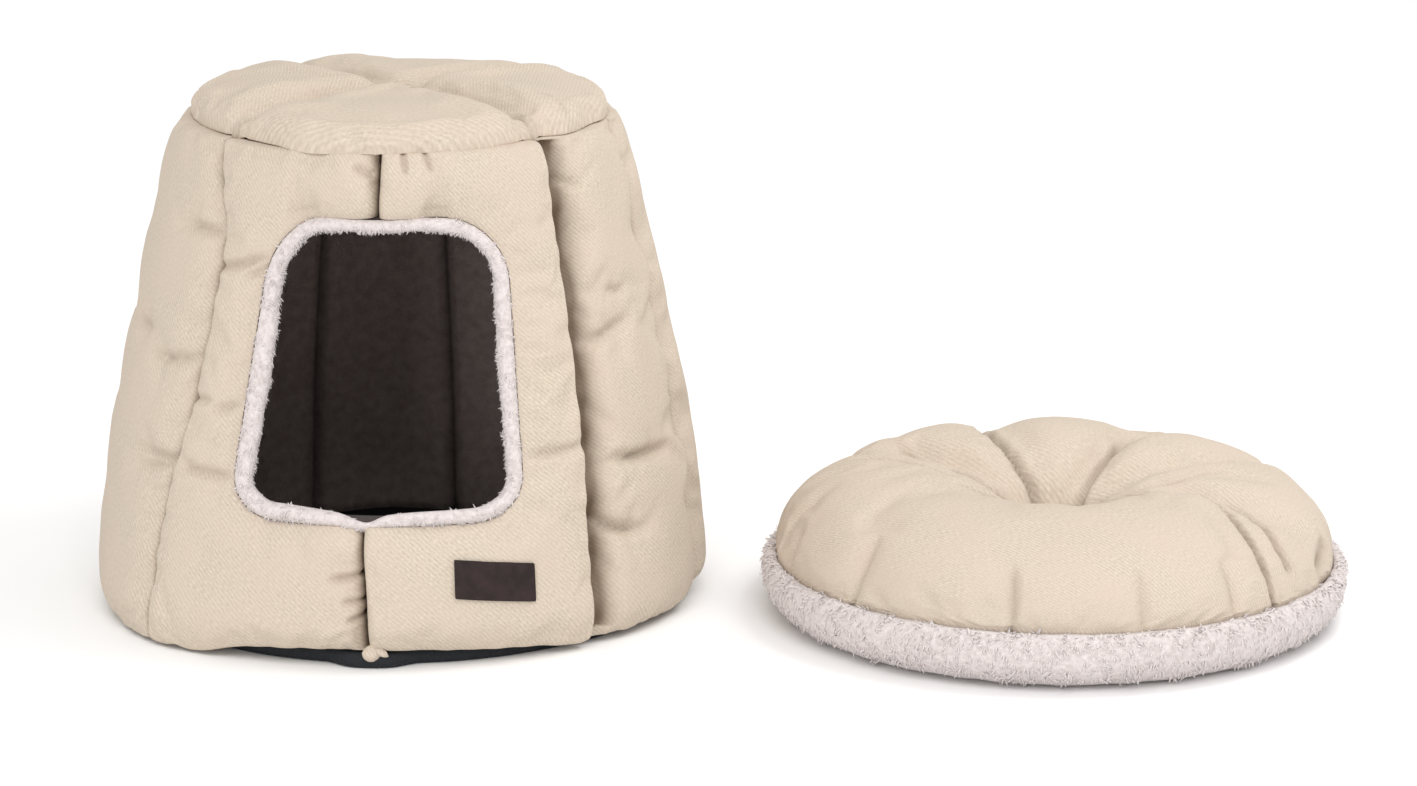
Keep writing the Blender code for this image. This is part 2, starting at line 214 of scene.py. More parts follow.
melange = math_of(twill_weave, "ADD", math_of(twill_weave, "MULTIPLY", streaks, 0.86),
                  math_of(twill_weave, "MULTIPLY", ribs, 0.14))
twill_weave.links.new(height, given.inputs["Height"])
twill_weave.links.new(melange, given.inputs["Melange"])
twill_weave.links.new(clouds, given.inputs["Cloud"])
print("twill weave", len(twill_weave.nodes), "nodes")

# %% [markdown]
# The twill is matt. Its streaks run between a darker and a lighter beige, broad patches lean a
# little to rose, and painted shade for seams and creases is mixed in last, so it lies over the pattern.

# %% Twill finish
TWILL_DARK = (0.455, 0.378, 0.297)
TWILL_LIGHT = (0.68, 0.592, 0.488)
TWILL_ROSE = (0.60, 0.492, 0.405)
# Painted shade, mixed into the twill along seams and creases
TWILL_PAINTED_SHADE = (0.150, 0.100, 0.065)
RIB_HEIGHT = 0.0003

twill, tree, shader = new_finish("melange_twill", 0.95, 0.02)
place = put(tree, "ShaderNodeUVMap", uv_map="cloth").outputs["UV"]
weave = put(tree, "ShaderNodeGroup", {"Place": place, "Rib": RIB_SCALE, "Streak": STREAK_SCALE},
            node_tree=twill_weave)
yarn = mix_colours(tree, spread_of(tree, weave.outputs["Melange"], 0.25, 0.75), TWILL_DARK, TWILL_LIGHT)
rosy = mix_colours(tree, spread_of(tree, weave.outputs["Cloud"], 0.38, 0.72, 0.60), yarn, TWILL_ROSE)
# Painted shade: the mark on the points darkens the twill along seams and creases
tree.links.new(mix_colours(tree, mark_of(tree, "fold"), rosy, TWILL_PAINTED_SHADE), shader.inputs["Base Color"])
bump(tree, shader, weave.outputs["Height"], RIB_HEIGHT, 0.6)
print("twill colours", TWILL_DARK, TWILL_LIGHT)

# %% [markdown]
# Plush and the lining are pile: short fibres that stand up, look lighter at their tips and lie in
# small clumps. The pile group gives clump and fibre patterns, and each cloth mixes its own colours.

# %% Pile group
pile, taken, given = new_group("short_pile", {"Clump": 180.0, "Fibre": 900.0},
                               ("Clumps", "Fibres", "Height"))
clumps = noise_of(pile, taken.outputs["Place"], taken.outputs["Clump"])
fibres = noise_of(pile, taken.outputs["Place"], taken.outputs["Fibre"])
mound = math_of(pile, "ADD", math_of(pile, "MULTIPLY", clumps, 0.7), math_of(pile, "MULTIPLY", fibres, 0.5))
pile.links.new(clumps, given.inputs["Clumps"])
pile.links.new(fibres, given.inputs["Fibres"])
pile.links.new(mound, given.inputs["Height"])


def pile_finish(name, dark, light, clump, fibre, depth, sheen, roughness=0.95):
    """A pile cloth between two colours, with its bump."""
    finish, tree, shader = new_finish(name, roughness, sheen)
    made = put(tree, "ShaderNodeGroup", {"Place": object_place(tree), "Clump": clump, "Fibre": fibre},
               node_tree=pile)
    both = math_of(tree, "ADD", math_of(tree, "MULTIPLY", made.outputs["Clumps"], 0.6),
                   math_of(tree, "MULTIPLY", made.outputs["Fibres"], 0.4))
    colour = mix_colours(tree, spread_of(tree, both, 0.32, 0.68), dark, light)
    tree.links.new(colour, shader.inputs["Base Color"])
    bump(tree, shader, made.outputs["Height"], depth)
    return finish, tree, shader, colour


print("pile group", len(pile.nodes), "nodes")

# %% [markdown]
# The plush is a pinkish white with pale tips, the lining a dark brown nap and the base a close black
# cloth. The fur locks, which are modelled, take their colour from marks on their points instead: one
# runs from root to tip and darkens the roots with painted shade deep in the pile, the other gives each lock
# its own tone.

# %% Plush, lining and base finishes
PLUSH_ROOT = (0.56, 0.490, 0.474)
PLUSH_TIP = (0.78, 0.717, 0.700)
LOCK_SHADE = (0.66, 0.595, 0.578)
LOCK_LIGHT = (0.80, 0.742, 0.726)
LINING_DARK = (0.290, 0.226, 0.206)
LINING_LIGHT = (0.420, 0.338, 0.312)
# Painted shade for the lining's seam tucks and its turned-out edge
LINING_PAINTED_SHADE = (0.030, 0.020, 0.018)
BASE_DARK = (0.008, 0.009, 0.011)
BASE_LIGHT = (0.022, 0.025, 0.030)

plush = pile_finish("white_plush", PLUSH_ROOT, PLUSH_TIP, 260.0, 1200.0, 0.0012, 0.15)[0]
lining_cloth, tree, shader, colour = pile_finish("dark_lining_pile", LINING_DARK, LINING_LIGHT, 120.0, 900.0,
                                                 0.0015, 0.10)
# Painted shade: the mark on the points darkens the lining in its seam tucks and at the entrance
tree.links.new(mix_colours(tree, mark_of(tree, "fold"), colour, LINING_PAINTED_SHADE), shader.inputs["Base Color"])
base_cloth = pile_finish("black_base_cloth", BASE_DARK, BASE_LIGHT, 900.0, 1600.0, 0.0004, 0.02, 0.75)[0]

locks_finish, tree, shader = new_finish("plush_locks", 0.95, 0.20)
# Painted shade: each lock is darker at its root, deep in the pile, and lighter at its tip
lit = mix_colours(tree, mark_of(tree, "tip"), PLUSH_ROOT, PLUSH_TIP)
shade = mix_colours(tree, mark_of(tree, "tone"), LOCK_SHADE, LOCK_LIGHT)
tree.links.new(mix_colours(tree, 0.45, lit, shade), shader.inputs["Base Color"])
print("plush", PLUSH_ROOT, PLUSH_TIP)

# %% [markdown]
# The label's leather is dark brown and a little smoother than the cloth. Small cells stand for its
# pores, and rubbed patches are slightly lighter.

# %% Leather finish
LEATHER_DARK = (0.017, 0.0095, 0.009)
LEATHER_RUBBED = (0.032, 0.018, 0.017)

leather, tree, shader = new_finish("dark_leather", 0.55)
place = object_place(tree)
pores = put(tree, "ShaderNodeTexVoronoi", {"Vector": place, "Scale": 1300.0}).outputs["Distance"]
rubbed = spread_of(tree, noise_of(tree, place, 90.0, 3.0), 0.35, 0.70)
tree.links.new(mix_colours(tree, rubbed, LEATHER_DARK, LEATHER_RUBBED), shader.inputs["Base Color"])
bump(tree, shader, pores, 0.0002, 0.6)
print("leather", LEATHER_DARK, LEATHER_RUBBED)

# %% [markdown]
# The cave stands on a pale floor, a large plane that belongs to the studio and not to the object.

# %% Floor
FLOOR_HALF = 12.0
PAPER_DARK = (0.945, 0.945, 0.945)
PAPER_LIGHT = (0.96, 0.96, 0.96)


def place_mesh(name, bm):
    """Turns a bmesh into an object in the scene."""
    mesh = bpy.data.meshes.new(name)
    bm.to_mesh(mesh)
    bm.free()
    made = bpy.data.objects.new(name, mesh)
    bpy.context.collection.objects.link(made)
    return made


bm = bmesh.new()
bmesh.ops.create_grid(bm, x_segments=1, y_segments=1, size=FLOOR_HALF)
floor = place_mesh("studio_floor", bm)
floor_finish, tree, shader = new_finish("floor_paper", 0.9)
paper = mix_colours(tree, noise_of(tree, object_place(tree), 3.0), PAPER_DARK, PAPER_LIGHT)
tree.links.new(paper, shader.inputs["Base Color"])
floor.data.materials.append(floor_finish)
print("floor", 2 * FLOOR_HALF, "m across")

# %% [markdown]
# Sewn and stuffed cloth follows a few plain rules. A stuffed face leaves its seam steeply and
# levels out, and an outline drawn as a short table of sizes needs a smooth curve through it.

# %% Shape helpers
def follow(table, place):
    """Reads a smooth curve through a table of (place, value) rows."""
    if place <= table[0][0]:
        return table[0][1]
    if place >= table[-1][0]:
        return table[-1][1]
    index = next(row for row in range(len(table) - 1) if place <= table[row + 1][0])
    (start, first), (end, last) = table[index], table[index + 1]
    before, after = table[max(index - 1, 0)], table[min(index + 2, len(table) - 1)]
    leave = (last - before[1]) / (end - before[0]) * (end - start)
    arrive = (after[1] - first) / (after[0] - start) * (end - start)
    t = (place - start) / (end - start)
    return (first * (2 * t ** 3 - 3 * t ** 2 + 1) + leave * (t ** 3 - 2 * t ** 2 + t)
            + last * (3 * t ** 2 - 2 * t ** 3) + arrive * (t ** 3 - t ** 2))


def rise(distance, reach):
    share = min(max(distance / reach, 0.0), 1.0)
    return math.sqrt(1.0 - (1.0 - share) ** 2)


def crowd(share):
    """Moves an even share of -1 to 1 towards its ends, where stuffed cloth curves most."""
    return 0.6 * share + 0.4 * math.sin(share * math.pi / 2)


def on_round(radius, angle, height):
    """A point at an angle in degrees from the cave's front, which faces -Y."""
    turn = math.radians(angle)
    return Vector((radius * math.sin(turn), -radius * math.cos(turn), height))


def stray(place, size, seed):
    """Smooth noise of about -1 to 1, with bumps of the given size in metres."""
    return noise.noise(Vector(place) / size + Vector((seed * 7.3, seed * 3.1, seed * 1.7)))


def make_piece(name, bm, finish, matrix, nodes=()):
    """Turns a bmesh into a piece at the origin, with its place in its mesh."""
    bmesh.ops.transform(bm, matrix=matrix, verts=bm.verts)
    piece = place_mesh(name, bm)
    piece.data.shade_smooth()
    piece.data.materials.append(finish)
    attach(piece, "root")
    if nodes:
        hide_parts(*nodes)
    return piece


def bake(piece):
    """Applies the piece's modifiers to its mesh."""
    settled = piece.evaluated_get(bpy.context.evaluated_depsgraph_get())
    mesh = bpy.data.meshes.new_from_object(settled)
    piece.modifiers.clear()
    piece.data = mesh


def refine(piece, levels):
    finer = piece.modifiers.new("finer", "SUBSURF")
    finer.levels = levels
    finer.render_levels = levels
    finer.use_limit_surface = False
    bake(piece)


# %% [markdown]
# The wall is eight padded panels. Each starts as a flat grid that is extruded into a thin block:
# the front grid becomes the stuffed face and the back stays on the inner wall. The seams wander a
# few degrees, as hand-guided seams do, and each draws its cloth in by its own depth.

# %% Wall sizes
WALL_BOTTOM, WALL_TOP = 0.0123, 0.4025
WALL_OUTLINE = ((0.000, 0.2440), (0.030, 0.2515), (0.060, 0.2505), (0.100, 0.2465), (0.150, 0.2395),
                (0.200, 0.2295), (0.250, 0.2190), (0.300, 0.2080), (0.350, 0.1965), (0.385, 0.1875),
                (0.410, 0.1790))
PANEL_COLUMNS, PANEL_ROWS = 34, 76
FOOT_PULL, FOOT_REACH = 0.011, 0.026
SHOULDER_PULL, SHOULDER_REACH = 0.007, 0.020
PLAIN_PULL = (0.012, 0.042)
GATHER_PITCH = 0.078
# Two neighbours stay this many degrees apart at their seam
SEAM_OPEN = 0.12
# The cloth swells this much when it is stuffed, and more is left free on the right side
SWELL_ROOM, RIGHT_ROOM = 0.0026, 0.0024
# Depth and reach of a seam's pull, on the left and right side of each panel
SEAM_PULLS = {0: ((0.005, 0.012), (0.002, 0.006)), 1: ((0.010, 0.050), PLAIN_PULL),
              6: (PLAIN_PULL, (0.008, 0.036)), 7: ((0.005, 0.024), (0.013, 0.030))}
# The front panel's right edge stands proud, and the next panel starts in a valley beside it
VALLEY_DEPTH, VALLEY_WIDTH = 0.0190, 0.0215
# How far a seam wanders, in degrees, by height
SEAM_WANDER = {0: ((0.0, -1.2), (0.05, -1.5), (0.10, -2.0), (0.25, 0.0), (0.36, 0.7), (0.40, 1.0)),
               1: ((0.0, -1.8), (0.10, -2.0), (0.20, -0.9), (0.30, -0.5), (0.40, 0.3)),
               2: ((0.0, -9.0), (0.20, -8.0), (0.40, -6.0)),
               7: ((0.0, -1.7), (0.11, -1.5), (0.17, 1.6), (0.22, 3.6), (0.30, 5.3), (0.34, 4.8),
                   (0.40, -1.5))}
# Share of a seam's pull, by height
SEAM_STRENGTH = {0: ((0.012, 1.6), (0.05, 1.1), (0.09, 0.35), (0.12, 0.6), (0.34, 0.9), (0.40, 1.3)),
                 7: ((0.012, 0.45), (0.10, 0.55), (0.20, 0.9), (0.30, 1.0), (0.40, 1.3))}
# Radius of the inner face at the floor, mid height and top
INNER_BOTTOM, INNER_MIDDLE, INNER_TOP = 0.2155, 0.1955, 0.1500
# The foot swells out on the left: by how much, where, over which angle and up to which height
SWELL, SWELL_ANGLE, SWELL_SPREAD, SWELL_TOP = 0.020, -47.0, 26.0, 0.130
# The foot sags over the base: its share by angle, its slope, up to which height, and its lowest point
FOOT_SAGS = ((-180.0, 0.6), (-60.0, 1.0), (-37.0, 1.0), (-24.0, 0.25), (-10.0, 0.0), (8.0, 0.0),
             (26.0, 0.5), (38.0, 1.0), (90.0, 1.0), (180.0, 0.6))
FOOT_SLOPE, SAG_TOP, FOOT_LOWEST = 0.343, 0.060, 0.0025


def turn_between(angle, middle):
    """Angle from a middle direction, from -180 to 180 degrees."""
    return (angle - middle + 180.0) % 360.0 - 180.0


def inner_radius(height):
    share = (height - WALL_BOTTOM) / (WALL_TOP - WALL_BOTTOM)
    return (INNER_BOTTOM * (1.0 - share) * (1.0 - 2.0 * share) + INNER_MIDDLE * 4.0 * share * (1.0 - share)
            + INNER_TOP * share * (2.0 * share - 1.0))


def foot_swell(angle, height):
    away = turn_between(angle, SWELL_ANGLE)
    return SWELL * max(1.0 - height / SWELL_TOP, 0.0) ** 2 * math.exp(-(away / SWELL_SPREAD) ** 2)


def seam_angle(seam, height):
    return 45.0 * seam + follow(SEAM_WANDER.get(seam % 8, ((0.0, 0.0), (0.4, 0.0))), height)


print("wall", round(1000 * (WALL_TOP - WALL_BOTTOM)), "mm high")

# %% [markdown]
# The entrance is drawn once, as a rounded outline seen from the front. The same outline draws the
# wall in around it, cuts the opening, guides the plush roll and folds the lining through.

# %% Entrance outline
DOOR_MIDDLE, DOOR_HALF_HEIGHT, DOOR_HALF_WIDTH = 0.2325, 0.1185, 0.1050
LOW_CORNER, HIGH_CORNER = 0.036, 0.052
DOOR_DIP, DOOR_REACH = 0.010, 0.034


def door_taper(side, height):
    share = (height - DOOR_MIDDLE) / DOOR_HALF_HEIGHT
    if side < 0.0:
        return (0.1005 - 0.0190 * share) / DOOR_HALF_WIDTH
    return (0.1090 - 0.0090 * share) / DOOR_HALF_WIDTH


def door_distance(point):
    """Distance outside the entrance's outline, seen from the front."""
    if point.y > 0.0:
        return DOOR_REACH
    corner = HIGH_CORNER if point.z > DOOR_MIDDLE else LOW_CORNER
    across = abs(point.x) / door_taper(point.x, point.z) - (DOOR_HALF_WIDTH - corner)
    up = abs(point.z - DOOR_MIDDLE) - (DOOR_HALF_HEIGHT - corner)
    return max(math.hypot(max(across, 0.0), max(up, 0.0)) - corner, 0.0)


def door_outline(inset, count):
    """The outline as evenly spaced points, moved inwards by the inset."""
    points = []
    for side, level, start, corner in ((1, 1, 0, HIGH_CORNER), (-1, 1, 90, HIGH_CORNER),
                                       (-1, -1, 180, LOW_CORNER), (1, -1, 270, LOW_CORNER)):
        for step in range(13):
            angle = math.radians(start + 7.5 * step)
            across = side * (DOOR_HALF_WIDTH - corner) + (corner - inset) * math.cos(angle)
            height = DOOR_MIDDLE + level * (DOOR_HALF_HEIGHT - corner) + (corner - inset) * math.sin(angle)
            points.append(Vector((across * door_taper(side, height), 0.0, height)))
    lengths = [(after - before).length for before, after in zip(points, points[1:] + points[:1])]
    loop, walked, step = [], 0.0, sum(lengths) / count
    for before, after, length in zip(points, points[1:] + points[:1], lengths):
        while len(loop) < count and len(loop) * step <= walked + length:
            loop.append(before.lerp(after, (len(loop) * step - walked) / length))
        walked += length
    return loop


print("entrance", round(2000 * DOOR_HALF_WIDTH), "x", round(2000 * DOOR_HALF_HEIGHT), "mm")

# %% [markdown]
# A stuffed piece starts as two cloths sewn together at their edges. One grid is extruded once: the
# copy is the front, which needs many faces for its folds, and the back is dissolved into a few large
# ones, because it never shows.

# %% Cut a stuffed block
def stuffed_block(columns, rows, back_columns, back_rows):
    """A grid with a front at z = 1 and a coarser back at z = 0, and a map of its shares."""
    bm = bmesh.new()
    bmesh.ops.create_grid(bm, x_segments=columns, y_segments=rows, size=0.5)
    bmesh.ops.translate(bm, verts=bm.verts, vec=(0.5, 0.5, 0.0))
    back = list(bm.faces)
    grown = bmesh.ops.extrude_face_region(bm, geom=back)
    front = [item for item in grown["geom"] if isinstance(item, bmesh.types.BMVert)]
    bmesh.ops.translate(bm, verts=front, vec=(0.0, 0.0, 1.0))
    blocks = {}
    for face in bm.faces:
        if max(vert.co.z for vert in face.verts) < 0.5:
            middle = face.calc_center_median()
            blocks.setdefault((int(middle.x * back_columns), int(middle.y * back_rows)), []).append(face)
    for faces in blocks.values():
        bmesh.ops.dissolve_faces(bm, faces=faces, use_verts=False)
    bmesh.ops.recalc_face_normals(bm, faces=bm.faces)
    return bm


def hold(piece, held):
    """Marks the points that the stuffing can't move."""
    piece.vertex_groups.new(name="held").add(held, 1.0, "REPLACE")


# %% [markdown]
# A crease is a short line on the cloth with a depth and a width. It is used twice. In the starting
# shape it is a broad valley whose middle is held, so the cloth puffs up on both sides of it. After
# the stuffing it is pressed in again, narrow and sharp.

# %% Crease helpers
# Where along a crease its depth is given: at its ends and on both sides of its middle
CREASE_FADE = (0.0, 0.35, 0.65, 1.0)
# Points this near to a crease are held in the stuffing, where it is deeper than the given depth
HELD_WIDTH, HELD_DEPTH = 0.0032, 0.0023
# On the wall's map one degree is as wide as four millimetres
DEGREE = 0.004


def gap_to(spots, points):
    """Distance of each spot from a broken line, and how far along the line, from 0 to 1."""
    points = np.array(points)
    steps = np.linalg.norm(np.diff(points, axis=0), axis=1)
    walked = np.concatenate(([0.0], np.cumsum(steps))) / steps.sum()
    nearest, along = np.full(len(spots), 1e9), np.zeros(len(spots))
    for index in range(len(points) - 1):
        way = points[index + 1] - points[index]
        share = np.clip(((spots - points[index]) @ way) / (way @ way), 0.0, 1.0)
        gap = np.linalg.norm(spots - points[index] - share[:, None] * way, axis=1)
        closer = gap < nearest
        nearest = np.where(closer, gap, nearest)
        along = np.where(closer, walked[index] + share * (walked[index + 1] - walked[index]), along)
    return nearest, along


def sharp_valley(gap, width):
    """1 on the line and 0 far from it, with a sharp middle."""
    return np.exp(-(np.sqrt(gap ** 2 + 0.0006 ** 2) - 0.0006) / width)


def starting_valleys(spots, lines, broad):
    """Depth of the broad valleys at each spot, and which spots lie on a line."""
    depth, on_line = np.zeros(len(spots)), np.zeros(len(spots), bool)
    for points, deep, width, start, end in lines:
        gap, along = gap_to(spots, points)
        fade = np.interp(along, CREASE_FADE, (start, 1.0, 1.0, end))
        depth += 1.2 * deep * fade * sharp_valley(gap, broad * width)
        on_line |= (gap < HELD_WIDTH) & (fade > 0.3) & (deep > HELD_DEPTH)
    return depth, on_line


def mark_folds(mesh, dark):
    """Keeps the deepest painted shade of each point, from 0 to 1, as a mark on the points."""
    layer = mesh.attributes.get("fold") or mesh.attributes.new("fold", "FLOAT", "POINT")
    values = np.empty(len(mesh.vertices), np.float32)
    layer.data.foreach_get("value", values)
    layer.data.foreach_set("value", np.maximum(values, dark).astype(np.float32))


def in_cave(places):
    """Places in the cave's own space, with its axis at the middle."""
    back = CAVE.inverted()
    return places @ np.array(back.to_3x3().transposed()) + np.array(back.translation)


def on_wall(places):
    """The wall's map: angle from the cave's front, and height."""
    local = in_cave(places)
    return np.stack([np.degrees(np.arctan2(local[:, 0], -local[:, 1])) * DEGREE, local[:, 2]], axis=1)


def wall_line(points, depth, width, start=0.0, end=0.0):
    return [(angle * DEGREE, height) for angle, height in points], depth, width, start, end


# %% [markdown]
# The wall's creases are read from its look: most run across a panel and start at a seam, where the
# thread gathers the cloth. The panels at the back are left to the simulation.

# %% Wall creases
# By panel: points as angle and height, then depth, width and the share of depth at both ends
WALL_CREASES = {
    8: [wall_line([(-38.9, 0.306), (-31.5, 0.311), (-25.3, 0.318)], 0.0030, 0.0035, 1.0),
        wall_line([(-31.9, 0.301), (-24.1, 0.312)], 0.0026, 0.0032),
        wall_line([(-41.5, 0.201), (-34.9, 0.204)], 0.0022, 0.0035, 1.0),
        wall_line([(-35.8, 0.195), (-28.5, 0.202)], 0.0022, 0.0032),
        wall_line([(-40.6, 0.147), (-27.7, 0.144)], 0.0025, 0.0040, 1.0),
        wall_line([(-8.6, 0.073), (-1.8, 0.076)], 0.0035, 0.0030, 0.0, 1.0),
        wall_line([(-6.0, 0.056), (-1.6, 0.055)], 0.0028, 0.0026, 0.0, 1.0),
        wall_line([(-5.0, 0.040), (-1.4, 0.043)], 0.0026, 0.0026, 0.0, 1.0),
        wall_line([(-22.0, 0.354), (-13.0, 0.359)], 0.0022, 0.0100),
        wall_line([(-1.0, 0.385), (-6.0, 0.392)], 0.0020, 0.0030, 1.0)],
    1: [wall_line([(29.9, 0.161), (42.6, 0.166)], 0.0022, 0.0040, 0.0, 1.0),
        wall_line([(6.9, 0.400), (7.4, 0.385)], 0.0022, 0.0026, 1.0),
        wall_line([(12.6, 0.400), (13.8, 0.386)], 0.0022, 0.0026, 1.0),
        wall_line([(10.0, 0.357), (19.0, 0.358)], 0.0026, 0.0105)],
    7: [wall_line([(-55.3, 0.333), (-41.8, 0.332)], 0.0030, 0.0040, 0.0, 1.0),
        wall_line([(-72.9, 0.241), (-61.3, 0.244)], 0.0025, 0.0040),
        wall_line([(-59.3, 0.222), (-41.7, 0.232)], 0.0028, 0.0038, 0.0, 1.0),
        wall_line([(-60.0, 0.150), (-43.2, 0.149)], 0.0030, 0.0038, 0.0, 1.0),
        wall_line([(-58.8, 0.136), (-44.0, 0.147)], 0.0026, 0.0038, 0.0, 1.0)],
    2: [wall_line([(47.8, 0.370), (56.7, 0.364)], 0.0028, 0.0035, 1.0),
        wall_line([(57.0, 0.280), (65.7, 0.274)], 0.0026, 0.0035),
        wall_line([(49.5, 0.240), (65.6, 0.254)], 0.0038, 0.0050, 0.6),
        wall_line([(51.0, 0.148), (58.9, 0.145), (72.1, 0.142)], 0.0050, 0.0048, 0.3),
        wall_line([(45.2, 0.101), (53.1, 0.090), (60.2, 0.085)], 0.0050, 0.0050, 1.0)],
}
print("wall creases", sum(len(lines) for lines in WALL_CREASES.values()))

# %% [markdown]
# Each point of a panel gets an angle between its two seams and a radius. The radius is the wall's
# outline, less what the seams, the foot, the shoulder and the entrance pull it in.

# %% Shape of a panel's face
def wall_face(panel, across, height):
    """Angle and radius of a panel's stuffed face, at a share across it."""
    left, right = seam_angle(panel, height), seam_angle(panel + 1, height)
    angle = 0.5 * (left + right) + 0.5 * across * (right - left - SEAM_OPEN)
    stuffed = follow(WALL_OUTLINE, height) + foot_swell(angle, height)
    foot = rise(height - WALL_BOTTOM, FOOT_REACH)
    shoulder = rise(WALL_TOP - height, SHOULDER_REACH)
    ends = foot * shoulder
    pulled = FOOT_PULL * (1.0 - foot) + SHOULDER_PULL * (1.0 - shoulder)
    side = max(math.sin(math.radians(angle)), 0.0) ** 2
    away = min(angle - left, right - angle) / 12.0
    pulled += (SWELL_ROOM + RIGHT_ROOM * side) * min(away, 1.0) * ends
    at_left, at_right = SEAM_PULLS.get(panel, (PLAIN_PULL, PLAIN_PULL))
    for (depth, reach), seam, gap in ((at_left, panel, angle - left), (at_right, panel + 1, right - angle)):
        strength = follow(SEAM_STRENGTH.get(seam % 8, ((0.0, 1.0), (0.4, 1.0))), height)
        strength *= 1.0 + 0.35 * stray((0.0, seam * 0.3, height), 0.030, seam + 1)
        gathers = 1.0 + 0.35 * math.sin(2.0 * math.pi * height / GATHER_PITCH + panel)
        away = math.radians(gap) * stuffed
        pulled += depth * strength * (1.0 - rise(away, reach * gathers)) * ends
        if panel == 1 and seam == 1:
            pulled += VALLEY_DEPTH * math.exp(-(away / VALLEY_WIDTH) ** 2) * ends
    door = rise(door_distance(on_round(stuffed, angle, height)), DOOR_REACH)
    return angle, stuffed - pulled - DOOR_DIP * (1.0 - door)


# %% [markdown]
# Each panel is laid out from its block. The foot sags over the base, and the points of the back, the
# edges and the deepest creases are held, so the stuffing can only fill the cloth between them.

# %% Lay the wall panels
# The cloth's own map is as wide as the wall at its mean radius
MEAN_RADIUS = 0.22


def add_wall_panel(panel):
    bm = stuffed_block(PANEL_COLUMNS, PANEL_ROWS, 6, 9)
    cloth = bm.loops.layers.uv.new("cloth")
    bm.verts.index_update()
    held, faces = [], []
    for vert in bm.verts:
        across, up = crowd(2.0 * vert.co.x - 1.0), crowd(2.0 * vert.co.y - 1.0)
        height = WALL_BOTTOM + (WALL_TOP - WALL_BOTTOM) * (0.5 + 0.5 * up)
        faces.append((across, up, height, *wall_face(panel, across, height)))
    spots = np.array([((angle if angle < 180.0 else angle - 360.0) * DEGREE, height)
                      for across, up, height, angle, outer in faces])
    depths, on_line = starting_valleys(spots, WALL_CREASES.get(panel + 1, []), 2.6)
    for vert, (across, up, height, angle, outer), depth, pinned in zip(bm.verts, faces, depths, on_line):
        outer -= depth
        for loop in vert.link_loops:
            loop[cloth].uv = (math.radians(angle) * MEAN_RADIUS, height)
        radius = outer if vert.co.z > 0.5 else inner_radius(height)
        place = on_round(radius, angle, height)
        at_edge = max(abs(across), abs(up)) > 0.999 or door_distance(place) < 0.004
        if vert.co.z < 0.5 or at_edge or pinned:
            held.append(vert.index)
        lower = FOOT_SLOPE * max(radius - INNER_BOTTOM, 0.0) * follow(FOOT_SAGS, turn_between(angle, 0.0))
        lower *= max(1.0 - (height - WALL_BOTTOM) / SAG_TOP, 0.0) ** 1.5
        place.z = max(place.z - lower, FOOT_LOWEST)
        vert.co = place
    piece = make_piece(f"panel_{panel + 1}", bm, twill, CAVE, (f"wall_panel_{panel + 1}",))
    hold(piece, held)
    return piece


panels = [add_wall_panel(panel) for panel in range(8)]
print("panels", [len(panel.data.vertices) for panel in panels])

# %% [markdown]
# The lid is four stuffed quarters that meet in a cross. A square grid is pulled into a quarter
# disc, because its rows then run along both seams and no pole gathers at the middle. Its rim is
# thin and a little wavy, and it lies on the shoulder of the wall.

# %% Lay the lid
LID_BOTTOM, LID_EDGE, LID_RIM, LID_RADIUS = 0.4028, 0.4052, 0.4110, 0.1700
LID_CROWNS = (0.0225, 0.0220, 0.0190, 0.0220)
LID_CUTS = 30
# Half of the gap between two quarters
LID_GAP = 0.0002
LID_SEAM_REACH, LID_EDGE_REACH, LID_CROWN_REACH = 0.036, 0.016, 0.070
# Share of the lid's radius by angle from the front: the seams draw the rim in, the puffs fill it out
LID_RIM_SHARES = ((-180.0, 0.985), (-160.0, 1.00), (-135.0, 0.965), (-110.0, 0.99), (-88.0, 1.00),
                  (-70.0, 0.985), (-48.0, 0.975), (-34.0, 0.990), (-18.0, 1.045), (-6.0, 1.035),
                  (10.0, 1.020), (26.0, 1.030), (38.0, 0.995), (50.0, 0.970), (58.0, 1.010),
                  (70.0, 0.990), (88.0, 1.010), (110.0, 0.985), (135.0, 0.955), (160.0, 1.00),
                  (180.0, 0.985))
# How far the rim droops, by the same angle
LID_DROOP = ((-180.0, 0.0), (-60.0, 0.0014), (-45.0, 0.0016), (-30.0, 0.0026), (-18.0, 0.0060),
             (-5.0, 0.0052), (10.0, 0.0046), (26.0, 0.0050), (40.0, 0.0022), (48.0, 0.0014),
             (62.0, 0.0026), (80.0, 0.0010), (180.0, 0.0))


def square_to_disc(first, second, radius):
    """Lays a square of shares into a disc: -1 to 1 both ways fills it, 0 to 1 a quarter of it."""
    return (radius * first * math.sqrt(1.0 - 0.5 * second ** 2),
            radius * second * math.sqrt(1.0 - 0.5 * first ** 2))


